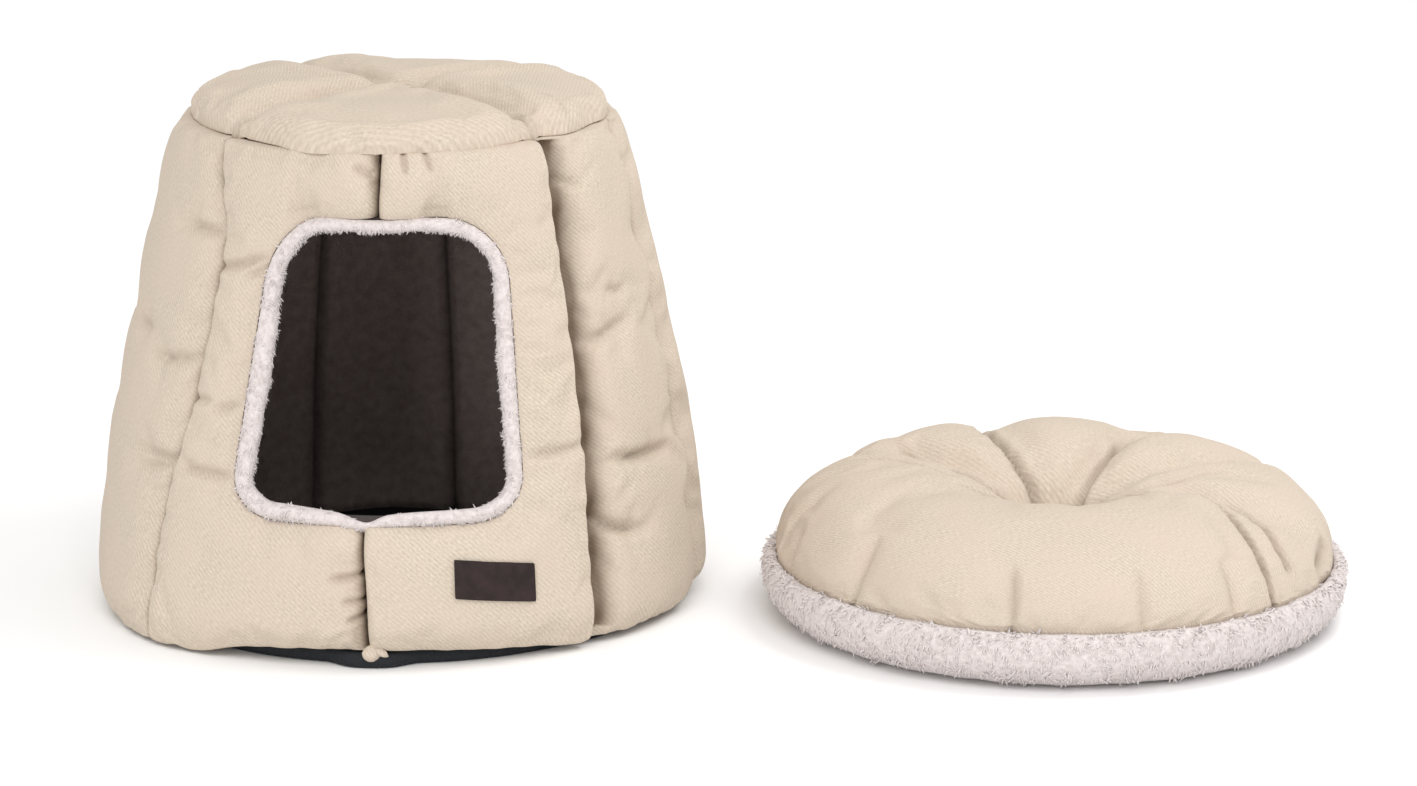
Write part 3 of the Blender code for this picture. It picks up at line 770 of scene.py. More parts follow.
def add_lid_quarter(quarter):
    bm = stuffed_block(LID_CUTS, LID_CUTS, 5, 5)
    cloth = bm.loops.layers.uv.new("cloth")
    bm.verts.index_update()
    held = []
    turn = 90.0 * quarter - 45.0
    for vert in bm.verts:
        first, second = (0.5 + 0.5 * crowd(2.0 * share - 1.0) for share in vert.co.xy)
        across, along = square_to_disc(first, second, LID_RADIUS)
        rim = LID_RADIUS - math.hypot(across, along)
        angle = turn + math.degrees(math.atan2(across + LID_GAP, along + LID_GAP))
        facing = turn_between(angle, 0.0)
        uneven = follow(LID_RIM_SHARES, facing) - 1.0 + 0.012 * stray((across, along, quarter), 0.022, 4)
        wave = 1.0 + uneven * (1.0 - rim / LID_RADIUS) ** 4
        for loop in vert.link_loops:
            loop[cloth].uv = (across, along)
        seams = rise(across, LID_SEAM_REACH) * rise(along, LID_SEAM_REACH)
        top = LID_EDGE + (LID_RIM - LID_EDGE) * rise(rim, LID_EDGE_REACH)
        top += LID_CROWNS[quarter] * seams * rise(rim, LID_CROWN_REACH)
        under = vert.co.z < 0.5
        if under or min(first, second) < 0.001 or rim < 0.001:
            held.append(vert.index)
        height = LID_BOTTOM + (top - LID_BOTTOM) * vert.co.z
        droop = follow(LID_DROOP, facing) * max(1.0 - rim / LID_EDGE_REACH, 0.0) ** 1.5
        height -= droop * (0.35 if under else 1.0)
        vert.co = on_round(wave * math.hypot(across + LID_GAP, along + LID_GAP), angle, height)
    piece = make_piece(f"lid_quarter_{quarter + 1}", bm, twill, CAVE, (f"lid_quadrant_{quarter + 1}",))
    hold(piece, held)
    return piece


lid = [add_lid_quarter(quarter) for quarter in range(4)]
print("lid quarters", [len(quarter.data.vertices) for quarter in lid])

# %% [markdown]
# The cushion is one filled round with a deep tuft a little behind its middle. Broad folds run out
# from the tuft. They are drawn in the starting shape, and the stuffing then rounds them.

# %% Lay the cushion
CUSHION_RADIUS, CUSHION_SEAM, CUSHION_CROWN = 0.2280, 0.0510, 0.0680
UNDERSIDE = ((0.0, 0.0096), (0.1900, 0.0096), (0.2050, 0.0122), (0.2190, 0.0205), (0.2265, 0.0360))
# Widest radius of the underside, and how much deeper than wide the cushion is
UNDERSIDE_RADIUS, CUSHION_DEEPER = 0.2265, 1.06
# Radius of the top's cloth before it is drawn in, which the weave's map keeps
CUSHION_CLOTH = 0.27
# The tuft's wide dip and its narrow middle: depth and radius
TUFT_DIP, TUFT_MIDDLE = (0.034, 0.062), (0.026, 0.024)
# How much higher the back is than the front
BACK_LIFT = 0.028
# Folds from the tuft: direction from the front, depth, half width, inner and outer radius
CUSHION_FOLDS = ((-125.0, 0.013, 9.0, 0.010, 0.155), (-168.0, 0.007, 7.0, 0.050, 0.225),
                 (152.0, 0.011, 9.0, 0.010, 0.170), (112.0, 0.009, 10.0, 0.020, 0.170),
                 (66.0, 0.007, 8.0, 0.090, 0.222), (-8.0, 0.003, 12.0, 0.150, 0.228),
                 (-62.0, 0.003, 12.0, 0.040, 0.190))
CUSHION_CUTS = 64
# Sharp folds of the top, as offsets from its middle: points, depth, width, share at both ends
CUSHION_CREASES = [
    ([(-0.012, 0.000), (-0.034, 0.002), (-0.058, 0.008), (-0.082, 0.032), (-0.110, 0.070), (-0.128, 0.112)],
     0.0090, 0.0055, 1.0, 0.0),
    ([(-0.075, -0.004), (-0.118, 0.030), (-0.160, 0.060)], 0.0035, 0.0060, 0.0, 0.0),
    ([(-0.006, 0.012), (-0.026, 0.060), (-0.044, 0.120), (-0.054, 0.190)], 0.0060, 0.0070, 1.0, 0.8),
    ([(0.010, 0.008), (0.030, 0.040), (0.054, 0.090), (0.076, 0.150)], 0.0085, 0.0060, 1.0, 0.0),
    ([(0.014, 0.000), (0.050, 0.004), (0.092, 0.024), (0.154, 0.071)], 0.0080, 0.0058, 1.0, 0.0),
    ([(0.014, -0.008), (0.060, -0.028), (0.100, -0.020), (0.140, 0.010)], 0.0050, 0.0046, 0.8, 0.0),
    ([(0.014, -0.014), (0.070, -0.048), (0.124, -0.058)], 0.0045, 0.0050, 0.8, 0.0),
    ([(-0.012, -0.006), (-0.040, -0.022), (-0.085, -0.020)], 0.0040, 0.0050, 0.8, 0.0),
    ([(0.122, -0.062), (0.141, -0.122), (0.161, -0.170)], 0.0080, 0.0042, 0.2, 1.0),
    ([(0.134, -0.062), (0.160, -0.100), (0.176, -0.136)], 0.0050, 0.0050, 0.2, 1.0),
    ([(0.214, -0.062), (0.205, -0.100)], 0.0050, 0.0055, 0.6, 0.6),
    ([(-0.049, -0.238), (-0.046, -0.205)], 0.0022, 0.0065, 1.0, 0.0),
    ([(0.054, -0.236), (0.050, -0.210)], 0.0014, 0.0060, 1.0, 0.0),
    ([(0.128, -0.198), (0.118, -0.178)], 0.0014, 0.0050, 1.0, 0.0),
    ([(-0.173, -0.163), (-0.146, -0.135)], 0.0015, 0.0060, 1.0, 0.0),
    ([(-0.222, -0.030), (-0.190, -0.024)], 0.0035, 0.0050, 1.0, 0.0),
    ([(-0.190, 0.130), (-0.150, 0.105)], 0.0040, 0.0055, 1.0, 0.0),
    ([(0.120, 0.200), (0.105, 0.165)], 0.0040, 0.0055, 1.0, 0.0),
    ([(0.205, 0.095), (0.178, 0.082)], 0.0040, 0.0055, 1.0, 0.0),
]


def fold_depth(angle, radius):
    depth = 0.0
    for direction, deep, spread, start, end in CUSHION_FOLDS:
        away = turn_between(angle, direction)
        along = (radius - 0.5 * (start + end)) / (0.5 * (end - start))
        if abs(along) < 1.0:
            depth += deep * math.exp(-(away / spread) ** 2) * math.sqrt(1.0 - along ** 2)
    return depth


def cushion_top(radius, angle):
    share = min(radius / CUSHION_RADIUS, 1.0)
    height = CUSHION_SEAM + CUSHION_CROWN * (1.0 - share ** 5) ** 0.6
    for depth, reach in (TUFT_DIP, TUFT_MIDDLE):
        height -= depth * math.exp(-(radius / reach) ** 2)
    return height - fold_depth(angle, radius) * (1.0 - share ** 12)


def add_cushion():
    bm = stuffed_block(CUSHION_CUTS, CUSHION_CUTS, 8, 8)
    cloth = bm.loops.layers.uv.new("cloth")
    bm.verts.index_update()
    held, tops = [], []
    for vert in bm.verts:
        across, along = 2.0 * vert.co.x - 1.0, 2.0 * vert.co.y - 1.0
        flat = Vector(square_to_disc(across, along, 1.0))
        share = flat.length
        spread = math.sin(0.5 * math.pi * min(share, 1.0))
        way = flat / share if share > 1e-6 else Vector((0.0, 0.0))
        angle = math.degrees(math.atan2(way.x, -way.y)) if share > 1e-6 else 0.0
        for loop in vert.link_loops:
            loop[cloth].uv = way * share * CUSHION_CLOTH
        if vert.co.z > 0.5:
            radius = CUSHION_RADIUS * spread
            height = cushion_top(radius, angle)
            height += BACK_LIFT * way.y * radius * (height - CUSHION_SEAM) / CUSHION_CROWN
        else:
            radius = UNDERSIDE_RADIUS * min(share, 1.0)
            height = follow(UNDERSIDE, radius)
        top = vert.co.z > 0.5 and share < 0.999
        if not top or radius < 0.012:
            held.append(vert.index)
        vert.co = (way.x * radius, way.y * radius * CUSHION_DEEPER, height)
        if top:
            tops.append(vert)
    depths, on_line = starting_valleys(np.array([vert.co[:2] for vert in tops]), CUSHION_CREASES, 1.7)
    for vert, depth, pinned in zip(tops, depths, on_line):
        vert.co.z -= depth * min((vert.co.z - CUSHION_SEAM) / 0.03, 1.0)
        if pinned:
            held.append(vert.index)
    piece = make_piece("cushion", bm, twill, CUSHION, ("cushion_body",))
    hold(piece, held)
    return piece


cushion = add_cushion()
print("cushion", len(cushion.data.vertices))

# %% [markdown]
# Stuffing is a cloth simulation. Each piece is held along its seams, its cloth is cut a little too
# large, and air pressure fills it. The spare cloth has nowhere to go along a seam, so it puckers
# there as sewn cloth does. No point may move further than a small cap, so each piece stays in the
# space of its solid.

# %% Stuff every padded piece
STUFF_FRAMES = 16
# By kind of piece: air pressure, spare cloth as a share, and the furthest a point may move
PANEL_FILL = (2.4, 0.045, 0.0032)
LID_FILL = (0.7, 0.035, 0.0035)
CUSHION_FILL = (2.6, 0.05, 0.007)
TWILL_CLOTH = {"quality": 6, "mass": 0.12, "tension_stiffness": 12.0, "compression_stiffness": 6.0,
               "shear_stiffness": 4.0, "bending_stiffness": 0.25, "use_pressure": True,
               "vertex_group_mass": "held"}


def stuff_with_cloth(jobs):
    """Simulates all pieces together. Each job is a piece, its pressure, spare cloth and cap."""
    starts = {}
    for piece, pressure, spare, cap in jobs:
        starts[piece.name] = np.array([vert.co for vert in piece.data.vertices])
        cloth = piece.modifiers.new("stuffing", "CLOTH")
        for setting, value in TWILL_CLOTH.items():
            setattr(cloth.settings, setting, value)
        cloth.settings.shrink_min = -spare
        cloth.settings.uniform_pressure_force = pressure
        cloth.settings.effector_weights.gravity = 0.0
        cloth.collision_settings.use_collision = False
        cloth.point_cache.frame_end = STUFF_FRAMES
    for step in range(1, STUFF_FRAMES + 1):
        bpy.context.scene.frame_set(step)
    for piece, pressure, spare, cap in jobs:
        bake(piece)
        start = starts[piece.name]
        moved = np.array([vert.co for vert in piece.data.vertices]) - start
        length = np.linalg.norm(moved, axis=1, keepdims=True)
        share = cap * np.tanh(length / cap) / np.maximum(length, 1e-9)
        piece.data.vertices.foreach_set("co", (start + moved * share).ravel())
        print(piece.name, "moved up to", round(float(length.max()) * 1000, 1), "mm")
    bpy.context.scene.frame_set(1)


stuff_with_cloth([(panel, *PANEL_FILL) for panel in panels] + [(quarter, *LID_FILL) for quarter in lid]
                 + [(cushion, *CUSHION_FILL)])
for piece in panels:
    refine(piece, 2 if piece.name in ("panel_1", "panel_8") else 1)
for piece in lid + [cushion]:
    refine(piece, 2)

# %% [markdown]
# After the stuffing the same creases are pressed in sharply. Each is a narrow valley with raised
# lips and painted shade along its bottom, and it fades towards its ends.

# %% Press creases
# Share of each crease's depth, share of its width, and the strength of its painted shade
WALL_PRESS = (1.1, 0.8)
CUSHION_PRESS = (1.1, 0.50, 0.62)
LID_PRESS = (1.0, 0.9, 0.55)


def press(piece, flat, lines, share, narrow=1.0, shade=0.38):
    """Presses lines into a stuffed piece, along its normals."""
    mesh = piece.data
    count = len(mesh.vertices)
    places, normals = np.empty(count * 3), np.empty(count * 3)
    mesh.vertices.foreach_get("co", places)
    mesh.vertex_normals.foreach_get("vector", normals)
    places, normals = places.reshape(-1, 3), normals.reshape(-1, 3)
    spots = flat(places)
    push, dark = np.zeros(count), np.zeros(count)
    for points, depth, width, start, end in lines:
        gap, along = gap_to(spots, points)
        fade = np.interp(along, CREASE_FADE, (start, 1.0, 1.0, end))
        tight = narrow * width
        lips = np.exp(-((gap - 2.2 * tight) / (1.2 * tight)) ** 2)
        push += share * depth * fade * (0.30 * lips - sharp_valley(gap, tight))
        # Painted shade along the bottom of the crease
        dark = np.maximum(dark, shade * min(depth / 0.006, 1.0) * fade * sharp_valley(gap, 0.6 * tight))
    mark_folds(mesh, dark)
    mesh.vertices.foreach_set("co", (places + normals * push[:, None]).ravel())
    mesh.update()


for number, lines in WALL_CREASES.items():
    press(panels[number - 1], on_wall, lines, *WALL_PRESS)
print("pressed", list(WALL_CREASES))

# %% [markdown]
# A seam is a groove with painted shade at its bottom, and it is never even along its length. Each
# side of a seam has its own depth, width and painted shade, because one panel often stands a little over its
# neighbour.

# %% Press the wall's seams
# By seam: depth, width and painted shade on its left, and on its right
SEAM_GROOVES = {0: (0.0095, 0.0050, 0.70, 0.0045, 0.0022, 0.35),
                1: (0.0030, 0.0018, 0.20, 0.0060, 0.0110, 0.85),
                7: (0.0040, 0.0050, 0.45, 0.0030, 0.0030, 0.30)}
PLAIN_GROOVE = (0.0045, 0.0050, 0.45, 0.0045, 0.0050, 0.45)
# Beside the proud edge the painted shade starts this far into the valley
VALLEY_SHADE_START = 0.0155
# The wall keeps at least this thickness under a groove
THIN_WALL = 0.004


def press_seams(piece, panel):
    """Draws the cloth in beside both seams of a panel, towards the cave's axis."""
    mesh = piece.data
    inverse = CAVE.inverted()
    dark = np.zeros(len(mesh.vertices))
    for vert in mesh.vertices:
        local = inverse @ vert.co
        radius, height = math.hypot(local.x, local.y), local.z
        depth_here = radius - inner_radius(height)
        if depth_here < 0.006 or not WALL_BOTTOM + 0.002 < height < WALL_TOP - 0.001:
            continue
        angle = math.degrees(math.atan2(local.x, -local.y)) % 360.0
        pull = 0.0
        for seam, side in ((panel, 1), (panel + 1, -1)):
            groove = SEAM_GROOVES.get(seam % 8, PLAIN_GROOVE)
            depth, width, shade = groove[3:] if side == 1 else groove[:3]
            gap = max(math.radians(side * turn_between(angle, seam_angle(seam, height))) * radius, 0.0)
            uneven = 1.0 + 0.30 * stray((0.0, seam * 0.3, height), 0.018, seam + 5)
            pull += depth * uneven * math.exp(-gap / width)
            seen = max(gap - (VALLEY_SHADE_START if panel == 1 and seam == 1 else 0.0), 0.0)
            # Painted shade beside the seam, deepest in the groove
            dark[vert.index] = max(dark[vert.index], shade * uneven * math.exp(-seen / (0.45 * width)))
        pull = min(pull, depth_here - THIN_WALL)
        ends = rise(height - WALL_BOTTOM, 0.012) * rise(WALL_TOP - height, 0.008)
        share = 1.0 - pull * ends / radius
        vert.co = CAVE @ Vector((local.x * share, local.y * share, local.z))
    mark_folds(mesh, dark)
    mesh.update()


for index, piece in enumerate(panels):
    press_seams(piece, index)
print("seams pressed", len(panels))

# %% [markdown]
# On the cushion the folds that run into the tuft are the sharpest, so they are pressed narrow. On
# the lid the four quarters meet in a cross of seams, and two short tucks mark its right edge.

# %% Cushion and lid creases
# Depth, width and share at both ends of the lid's seams, from its middle outwards
LID_SEAM = (0.0052, 0.0042, 1.0, 0.8)
LID_TUCKS = [([(0.102, -0.090), (0.118, -0.112)], 0.0028, 0.0032, 0.2, 1.0),
             ([(0.120, -0.070), (0.140, -0.084)], 0.0024, 0.0032, 0.2, 1.0)]


def on_cushion(places):
    return places[:, :2] - np.array(CUSHION.translation.xy)


def on_lid(places):
    return in_cave(places)[:, :2]


press(cushion, on_cushion, CUSHION_CREASES, *CUSHION_PRESS)
for quarter, piece in enumerate(lid):
    ends = [on_round(LID_RADIUS, 90.0 * quarter + side, 0.0)[:2] for side in (-45.0, 45.0)]
    press(piece, on_lid, [([(0.0, 0.0), end], *LID_SEAM) for end in ends], *LID_PRESS)
press(lid[1], on_lid, LID_TUCKS, 1.0)
print("cushion creases", len(CUSHION_CREASES))

# %% [markdown]
# Cloth is never quite even. A little smooth noise, larger and then smaller, takes the last
# machine-made look off the stuffed faces.

# %% Soften the faces
# Size of the bumps, their height, and the first seed of their noise
UNEVENNESS = ((0.055, 0.0009, 0), (0.021, 0.0004, 20))


def soften(piece, size, height, seed):
    mesh = piece.data
    moves = [normal.vector * (height * stray(vert.co, size, seed))
             for vert, normal in zip(mesh.vertices, mesh.vertex_normals)]
    for vert, move in zip(mesh.vertices, moves):
        vert.co += move
    mesh.update()


for seed, piece in enumerate(panels + lid + [cushion]):
    for size, height, first_seed in UNEVENNESS:
        soften(piece, size, height, seed + first_seed)
print("softened", len(panels + lid) + 1)

# %% [markdown]
# The entrance is cut through the two front panels with a guide of the entrance's own outline. The
# cut comes after the stuffing, so its edge stays clean, and the plush roll then covers it.

# %% Cut the entrance
def entrance_guide(inset, near, depth):
    """A prism of the entrance's outline, from a distance in front, going in."""
    outline = door_outline(inset, 96)
    bm = bmesh.new()
    bmesh.ops.create_circle(bm, cap_ends=True, segments=len(outline), radius=1.0)
    bm.verts.ensure_lookup_table()
    for vert, point in zip(bm.verts, outline):
        vert.co = point + Vector((0.0, near, 0.0))
    grown = bmesh.ops.extrude_face_region(bm, geom=list(bm.faces))
    moved = [item for item in grown["geom"] if isinstance(item, bmesh.types.BMVert)]
    bmesh.ops.translate(bm, verts=moved, vec=(0.0, depth, 0.0))
    bmesh.ops.recalc_face_normals(bm, faces=bm.faces)
    bmesh.ops.transform(bm, matrix=CAVE, verts=bm.verts)
    return place_mesh("entrance_guide", bm)


def cut_entrance(piece, guide):
    cut = piece.modifiers.new("entrance", "BOOLEAN")
    cut.operation = "DIFFERENCE"
    cut.solver = "MANIFOLD"
    cut.object = guide
    bake(piece)


guide = entrance_guide(0.0, -0.300, 0.220)
for piece in (panels[0], panels[7]):
    cut_entrance(piece, guide)
print("entrance cut", len(panels[0].data.polygons), len(panels[7].data.polygons))

# %% [markdown]
# The lining is one cloth that hangs on the inner wall and under the lid, and turns out through the
# entrance to meet the plush. It is spun as a single skin, cut like the wall and then given its
# thickness.

# %% Lining
LINING_THICKNESS = 0.0015
# Directions of the lining's own seams, and how deep it bellies between them
LINING_SEAMS = (174.0, -152.0, -108.0, -64.0, 62.0, 96.0, 132.0)
LINING_BELLY, LINING_SLACK = 0.0085, 0.0030
# Half widths in degrees of a seam's line of painted shade, of the belly round it and of the tuck in the
# middle
LINE_HALF, BELLY_HALF, TUCK_HALF = 1.4, 11.0, 1.6
# Distance between the ceiling's rings and their number, rows of the wall, and steps round it
RING_STEP, CEILING_RINGS, LINING_ROWS, LINING_STEPS = 0.018, 9, 40, 240
# How far the lining hangs below the lid, and how far it stands off the inner wall
CEILING_DROP, LINING_OFF = 0.0008, 0.0009


def spin_profile(profile, segments):
    """Turns a profile of radius and height once round the middle."""
    bm = bmesh.new()
    verts = [bm.verts.new((0.0, -radius, height)) for radius, height in profile]
    edges = [bm.edges.new(pair) for pair in zip(verts, verts[1:])]
    bmesh.ops.spin(bm, geom=verts + edges, cent=(0, 0, 0), axis=(0, 0, 1), dvec=(0, 0, 0),
                   angle=2 * math.pi, steps=segments, use_merge=True, use_duplicate=False)
    bmesh.ops.remove_doubles(bm, verts=bm.verts, dist=1e-6)
    return bm


def add_lining(guide):
    ceiling = LID_BOTTOM - CEILING_DROP
    profile = [(RING_STEP * step, ceiling) for step in range(CEILING_RINGS)]
    heights = [WALL_BOTTOM + (ceiling - WALL_BOTTOM) * row / LINING_ROWS for row in range(LINING_ROWS + 1)]
    profile += [(inner_radius(height) - LINING_OFF, height) for height in reversed(heights)]
    bm = spin_profile(profile, LINING_STEPS)
    fold = bm.verts.layers.float.new("fold")
    for vert in bm.verts:
        radius = math.hypot(vert.co.x, vert.co.y)
        if radius > 0.02 and vert.co.z < ceiling - 0.004:
            angle = math.degrees(math.atan2(vert.co.x, -vert.co.y))
            slack = 0.5 + 0.5 * stray(vert.co, 0.045, 3)
            dip = LINING_SLACK * slack
            for seam in LINING_SEAMS:
                away = turn_between(angle, seam)
                # Painted shade along the seam's tuck
                vert[fold] = max(vert[fold], 0.8 * math.exp(-(away / LINE_HALF) ** 2))
                tuck = 1.0 - math.exp(-(away / TUCK_HALF) ** 2)
                dip += LINING_BELLY * math.exp(-(away / BELLY_HALF) ** 2) * tuck
            vert.co = on_round(radius - dip, angle, vert.co.z)
    bmesh.ops.recalc_face_normals(bm, faces=bm.faces)
    bmesh.ops.solidify(bm, geom=list(bm.faces), thickness=LINING_THICKNESS)
    bmesh.ops.recalc_face_normals(bm, faces=bm.faces)
    piece = make_piece("lining", bm, lining_cloth, CAVE, ("cave_lining",))
    cut_entrance(piece, guide)
    return piece


lining = add_lining(guide)
bpy.data.objects.remove(guide, do_unlink=True)
print("lining", len(lining.data.polygons))

# %% [markdown]
# Where the lining turns out through the entrance it is a narrow band. It grows from the entrance's
# outline, row by row, back to the inner wall.

# %% Lining's turned-out edge
# How far it starts behind the wall's outline, and its rows of faces from there to the inner wall
REVEAL_DEPTH, REVEAL_ROWS = 0.017, 4


def add_reveal():
    """The turned-out edge of the lining, inside the thickness of the wall."""
    loop = door_outline(0.0008, 160)
    bm = bmesh.new()
    bmesh.ops.create_circle(bm, segments=len(loop), radius=1.0)
    bm.verts.ensure_lookup_table()
    for vert, point in zip(bm.verts, loop):
        radius = follow(WALL_OUTLINE, point.z) - REVEAL_DEPTH
        vert.co = (point.x, -math.sqrt(radius ** 2 - point.x ** 2), point.z)
    rim = list(bm.edges)
    for step in range(REVEAL_ROWS):
        grown = bmesh.ops.extrude_edge_only(bm, edges=rim)["geom"]
        rim = [item for item in grown if isinstance(item, bmesh.types.BMEdge)
               and all(vert in grown for vert in item.verts)]
        for vert in {vert for edge in rim for vert in edge.verts}:
            inner = inner_radius(vert.co.z) - LINING_THICKNESS
            goal = -math.sqrt(inner ** 2 - vert.co.x ** 2)
            vert.co.y += (goal - vert.co.y) / (REVEAL_ROWS - step)
    bmesh.ops.recalc_face_normals(bm, faces=bm.faces)
    bmesh.ops.solidify(bm, geom=list(bm.faces), thickness=0.0012)
    bmesh.ops.recalc_face_normals(bm, faces=bm.faces)
    return make_piece("entrance_reveal", bm, lining_cloth, CAVE, ())


reveal = add_reveal()
# Painted shade: the whole turned-out edge is darkened, as it lies in the recess of the wall's thickness
mark_folds(reveal.data, np.full(len(reveal.data.vertices), 0.85))
print("turned-out edge", len(reveal.data.polygons))

# %% [markdown]
# The plush roll binds the entrance. It is a curve with a round section, thicker on the left and
# thinner at the top, as the cloth above presses on it.

# %% Plush roll
ROLL_RADIUS = 0.0085
# Share of the roll's radius, by the direction from the entrance's middle: 0 is right, 90 is up
ROLL_SHARES = ((-180.0, 1.00), (-130.0, 0.86), (-104.0, 0.66), (-93.0, 0.36), (-84.0, 0.60),
               (-45.0, 0.72), (0.0, 0.80), (50.0, 0.70), (78.0, 0.62), (90.0, 0.57), (102.0, 0.62),
               (130.0, 0.80), (180.0, 1.00))
# How far the roll is moved up, by the same direction
ROLL_LIFTS = ((-180.0, 0.0), (-125.0, 0.0), (-104.0, -0.0015), (-93.0, -0.0035), (-84.0, -0.0015),
              (-60.0, 0.0), (60.0, 0.0), (75.0, 0.0008), (90.0, -0.0006), (104.0, 0.0006),
              (130.0, 0.0), (180.0, 0.0))
ROLL_STEPS = 240
# How far the roll's middle lies behind the wall's outline, and how far it stays off the outline's edge
ROLL_BEHIND, ROLL_CLEAR = 0.0125, 0.0004


def add_roll():
    curve = bpy.data.curves.new("entrance_roll", "CURVE")
    curve.dimensions = "3D"
    curve.bevel_depth = ROLL_RADIUS
    curve.bevel_resolution = 4
    spline = curve.splines.new("POLY")
    spline.points.add(ROLL_STEPS - 1)
    spline.use_cyclic_u = True
    outline = door_outline(0.0, ROLL_STEPS)
    for index, point in enumerate(spline.points):
        flat = outline[index]
        direction = math.degrees(math.atan2(flat.z - DOOR_MIDDLE, flat.x))
        share = follow(ROLL_SHARES, direction) * (1.0 + 0.07 * stray(flat, 0.02, 5))
        along = (outline[(index + 1) % ROLL_STEPS] - outline[index - 1]).normalized()
        flat = flat + Vector((-along.z, 0.0, along.x)) * (ROLL_RADIUS * share + ROLL_CLEAR)
        flat.z += follow(ROLL_LIFTS, direction)
        radius = follow(WALL_OUTLINE, flat.z) - ROLL_BEHIND
        point.co = (flat.x, -math.sqrt(radius ** 2 - flat.x ** 2), flat.z, 1.0)
        point.radius = share
    holder = bpy.data.objects.new("entrance_roll_curve", curve)
    bpy.context.collection.objects.link(holder)
    mesh = bpy.data.meshes.new_from_object(holder.evaluated_get(bpy.context.evaluated_depsgraph_get()))
    bpy.data.objects.remove(holder, do_unlink=True)
    bm = bmesh.new()
    bm.from_mesh(mesh)
    bmesh.ops.recalc_face_normals(bm, faces=bm.faces)
    return make_piece("entrance_roll", bm, plush, CAVE, ("entrance_trim",))


roll = add_roll()
print("roll", len(roll.data.polygons))

# %% [markdown]
# The base is a thin black pad under the wall. It is spun from a rounded profile, and at the front
# seam it runs out into a short lobe.

# %% Base pad
BASE_HEIGHT = 0.012
# Radius and height, from the middle of its underside round its rim to the middle of its top
BASE_PROFILE = ((0.0, 0.0), (0.18, 0.0), (0.226, 0.0), (0.2285, 0.0008), (0.2300, 0.0030),
                (0.2303, 0.0060), (0.2298, 0.0090), (0.2285, 0.0112), (0.2265, BASE_HEIGHT),
                (0.2150, BASE_HEIGHT), (0.18, BASE_HEIGHT), (0.0, BASE_HEIGHT))
# The lobe at the front seam: how far it runs out, its direction and its half width
LOBE_REACH, LOBE_ANGLE, LOBE_SPREAD = 0.013, -1.0, 7.0


def add_base():
    bm = spin_profile(BASE_PROFILE, 180)
    for vert in bm.verts:
        radius = math.hypot(vert.co.x, vert.co.y)
        if radius > 0.2:
            angle = math.degrees(math.atan2(vert.co.x, -vert.co.y))
            sag = follow(FOOT_SAGS, angle)
            lowered = vert.co.z - FOOT_SLOPE * max(radius - INNER_BOTTOM, 0.0) * sag * vert.co.z / BASE_HEIGHT
            lobe = math.exp(-((angle - LOBE_ANGLE) / LOBE_SPREAD) ** 4)
            radius += LOBE_REACH * lobe + 0.0008 * stray(vert.co, 0.03, 8)
            radius -= 0.3 * sag * max(radius - 0.215, 0.0)
            vert.co = on_round(radius, angle, lowered)
    bmesh.ops.recalc_face_normals(bm, faces=bm.faces)
    return make_piece("base_pad", bm, base_cloth, CAVE, ("cave_base",))


base = add_base()
print("base pad", len(base.data.polygons))

# %% [markdown]
# Where the two front panels end at the base, their seam is gathered and folded under. Two small
# puffs of twill show there. Each is a round ball that is stretched, flattened and pinched.

# %% Gathered seam end
# Middle as angle, radius and height, half sizes across, out and up, and lean
SEAM_PUFFS = (((-0.7, 0.2420, 0.0128), (0.0072, 0.0056, 0.0070), 8.0),
              ((1.2, 0.2425, 0.0142), (0.0064, 0.0038, 0.0034), 32.0))


def add_seam_puff(number, place, sizes, lean):
    angle, radius, height = place
    bm = bmesh.new()
    bmesh.ops.create_uvsphere(bm, u_segments=28, v_segments=18, radius=1.0, calc_uvs=False)
    cloth = bm.loops.layers.uv.new("cloth")
    for vert in bm.verts:
        x, y, z = vert.co
        pleat = 1.0 + 0.10 * math.cos(5.0 * math.atan2(y, x)) * (1.0 - abs(z))
        pinch = 1.0 - 0.30 * max(z, 0.0)
        vert.co = (x * sizes[0] * pinch * pleat, y * sizes[1] * pinch, z * sizes[2])
        for loop in vert.link_loops:
            loop[cloth].uv = (vert.co.x, vert.co.z)
    leaned = Matrix.Translation(on_round(radius, angle, height)) @ Matrix.Rotation(math.radians(lean), 4, "Y")
    bmesh.ops.transform(bm, matrix=leaned, verts=bm.verts)
    puff = make_piece(f"seam_puff_{number}", bm, twill, CAVE, ())
    return puff


seam_puffs = [add_seam_puff(number + 1, *row) for number, row in enumerate(SEAM_PUFFS)]
print("seam puffs", len(seam_puffs))

# %% [markdown]
# The leather label lies on the stuffed face of the front right panel. Rays from outside find that
# face, so the label follows its curve.

# %% Leather label
LABEL_WIDTH, LABEL_HEIGHT, LABEL_THICKNESS = 0.068, 0.033, 0.0016
# Its middle as height and direction, how much it slopes down to the right, and how far it stands off
LABEL_MIDDLE, LABEL_ANGLE, LABEL_SLOPE, LABEL_CLEAR = 0.0700, 22.4, 0.13, 0.0006
LABEL_RADIUS = 0.249


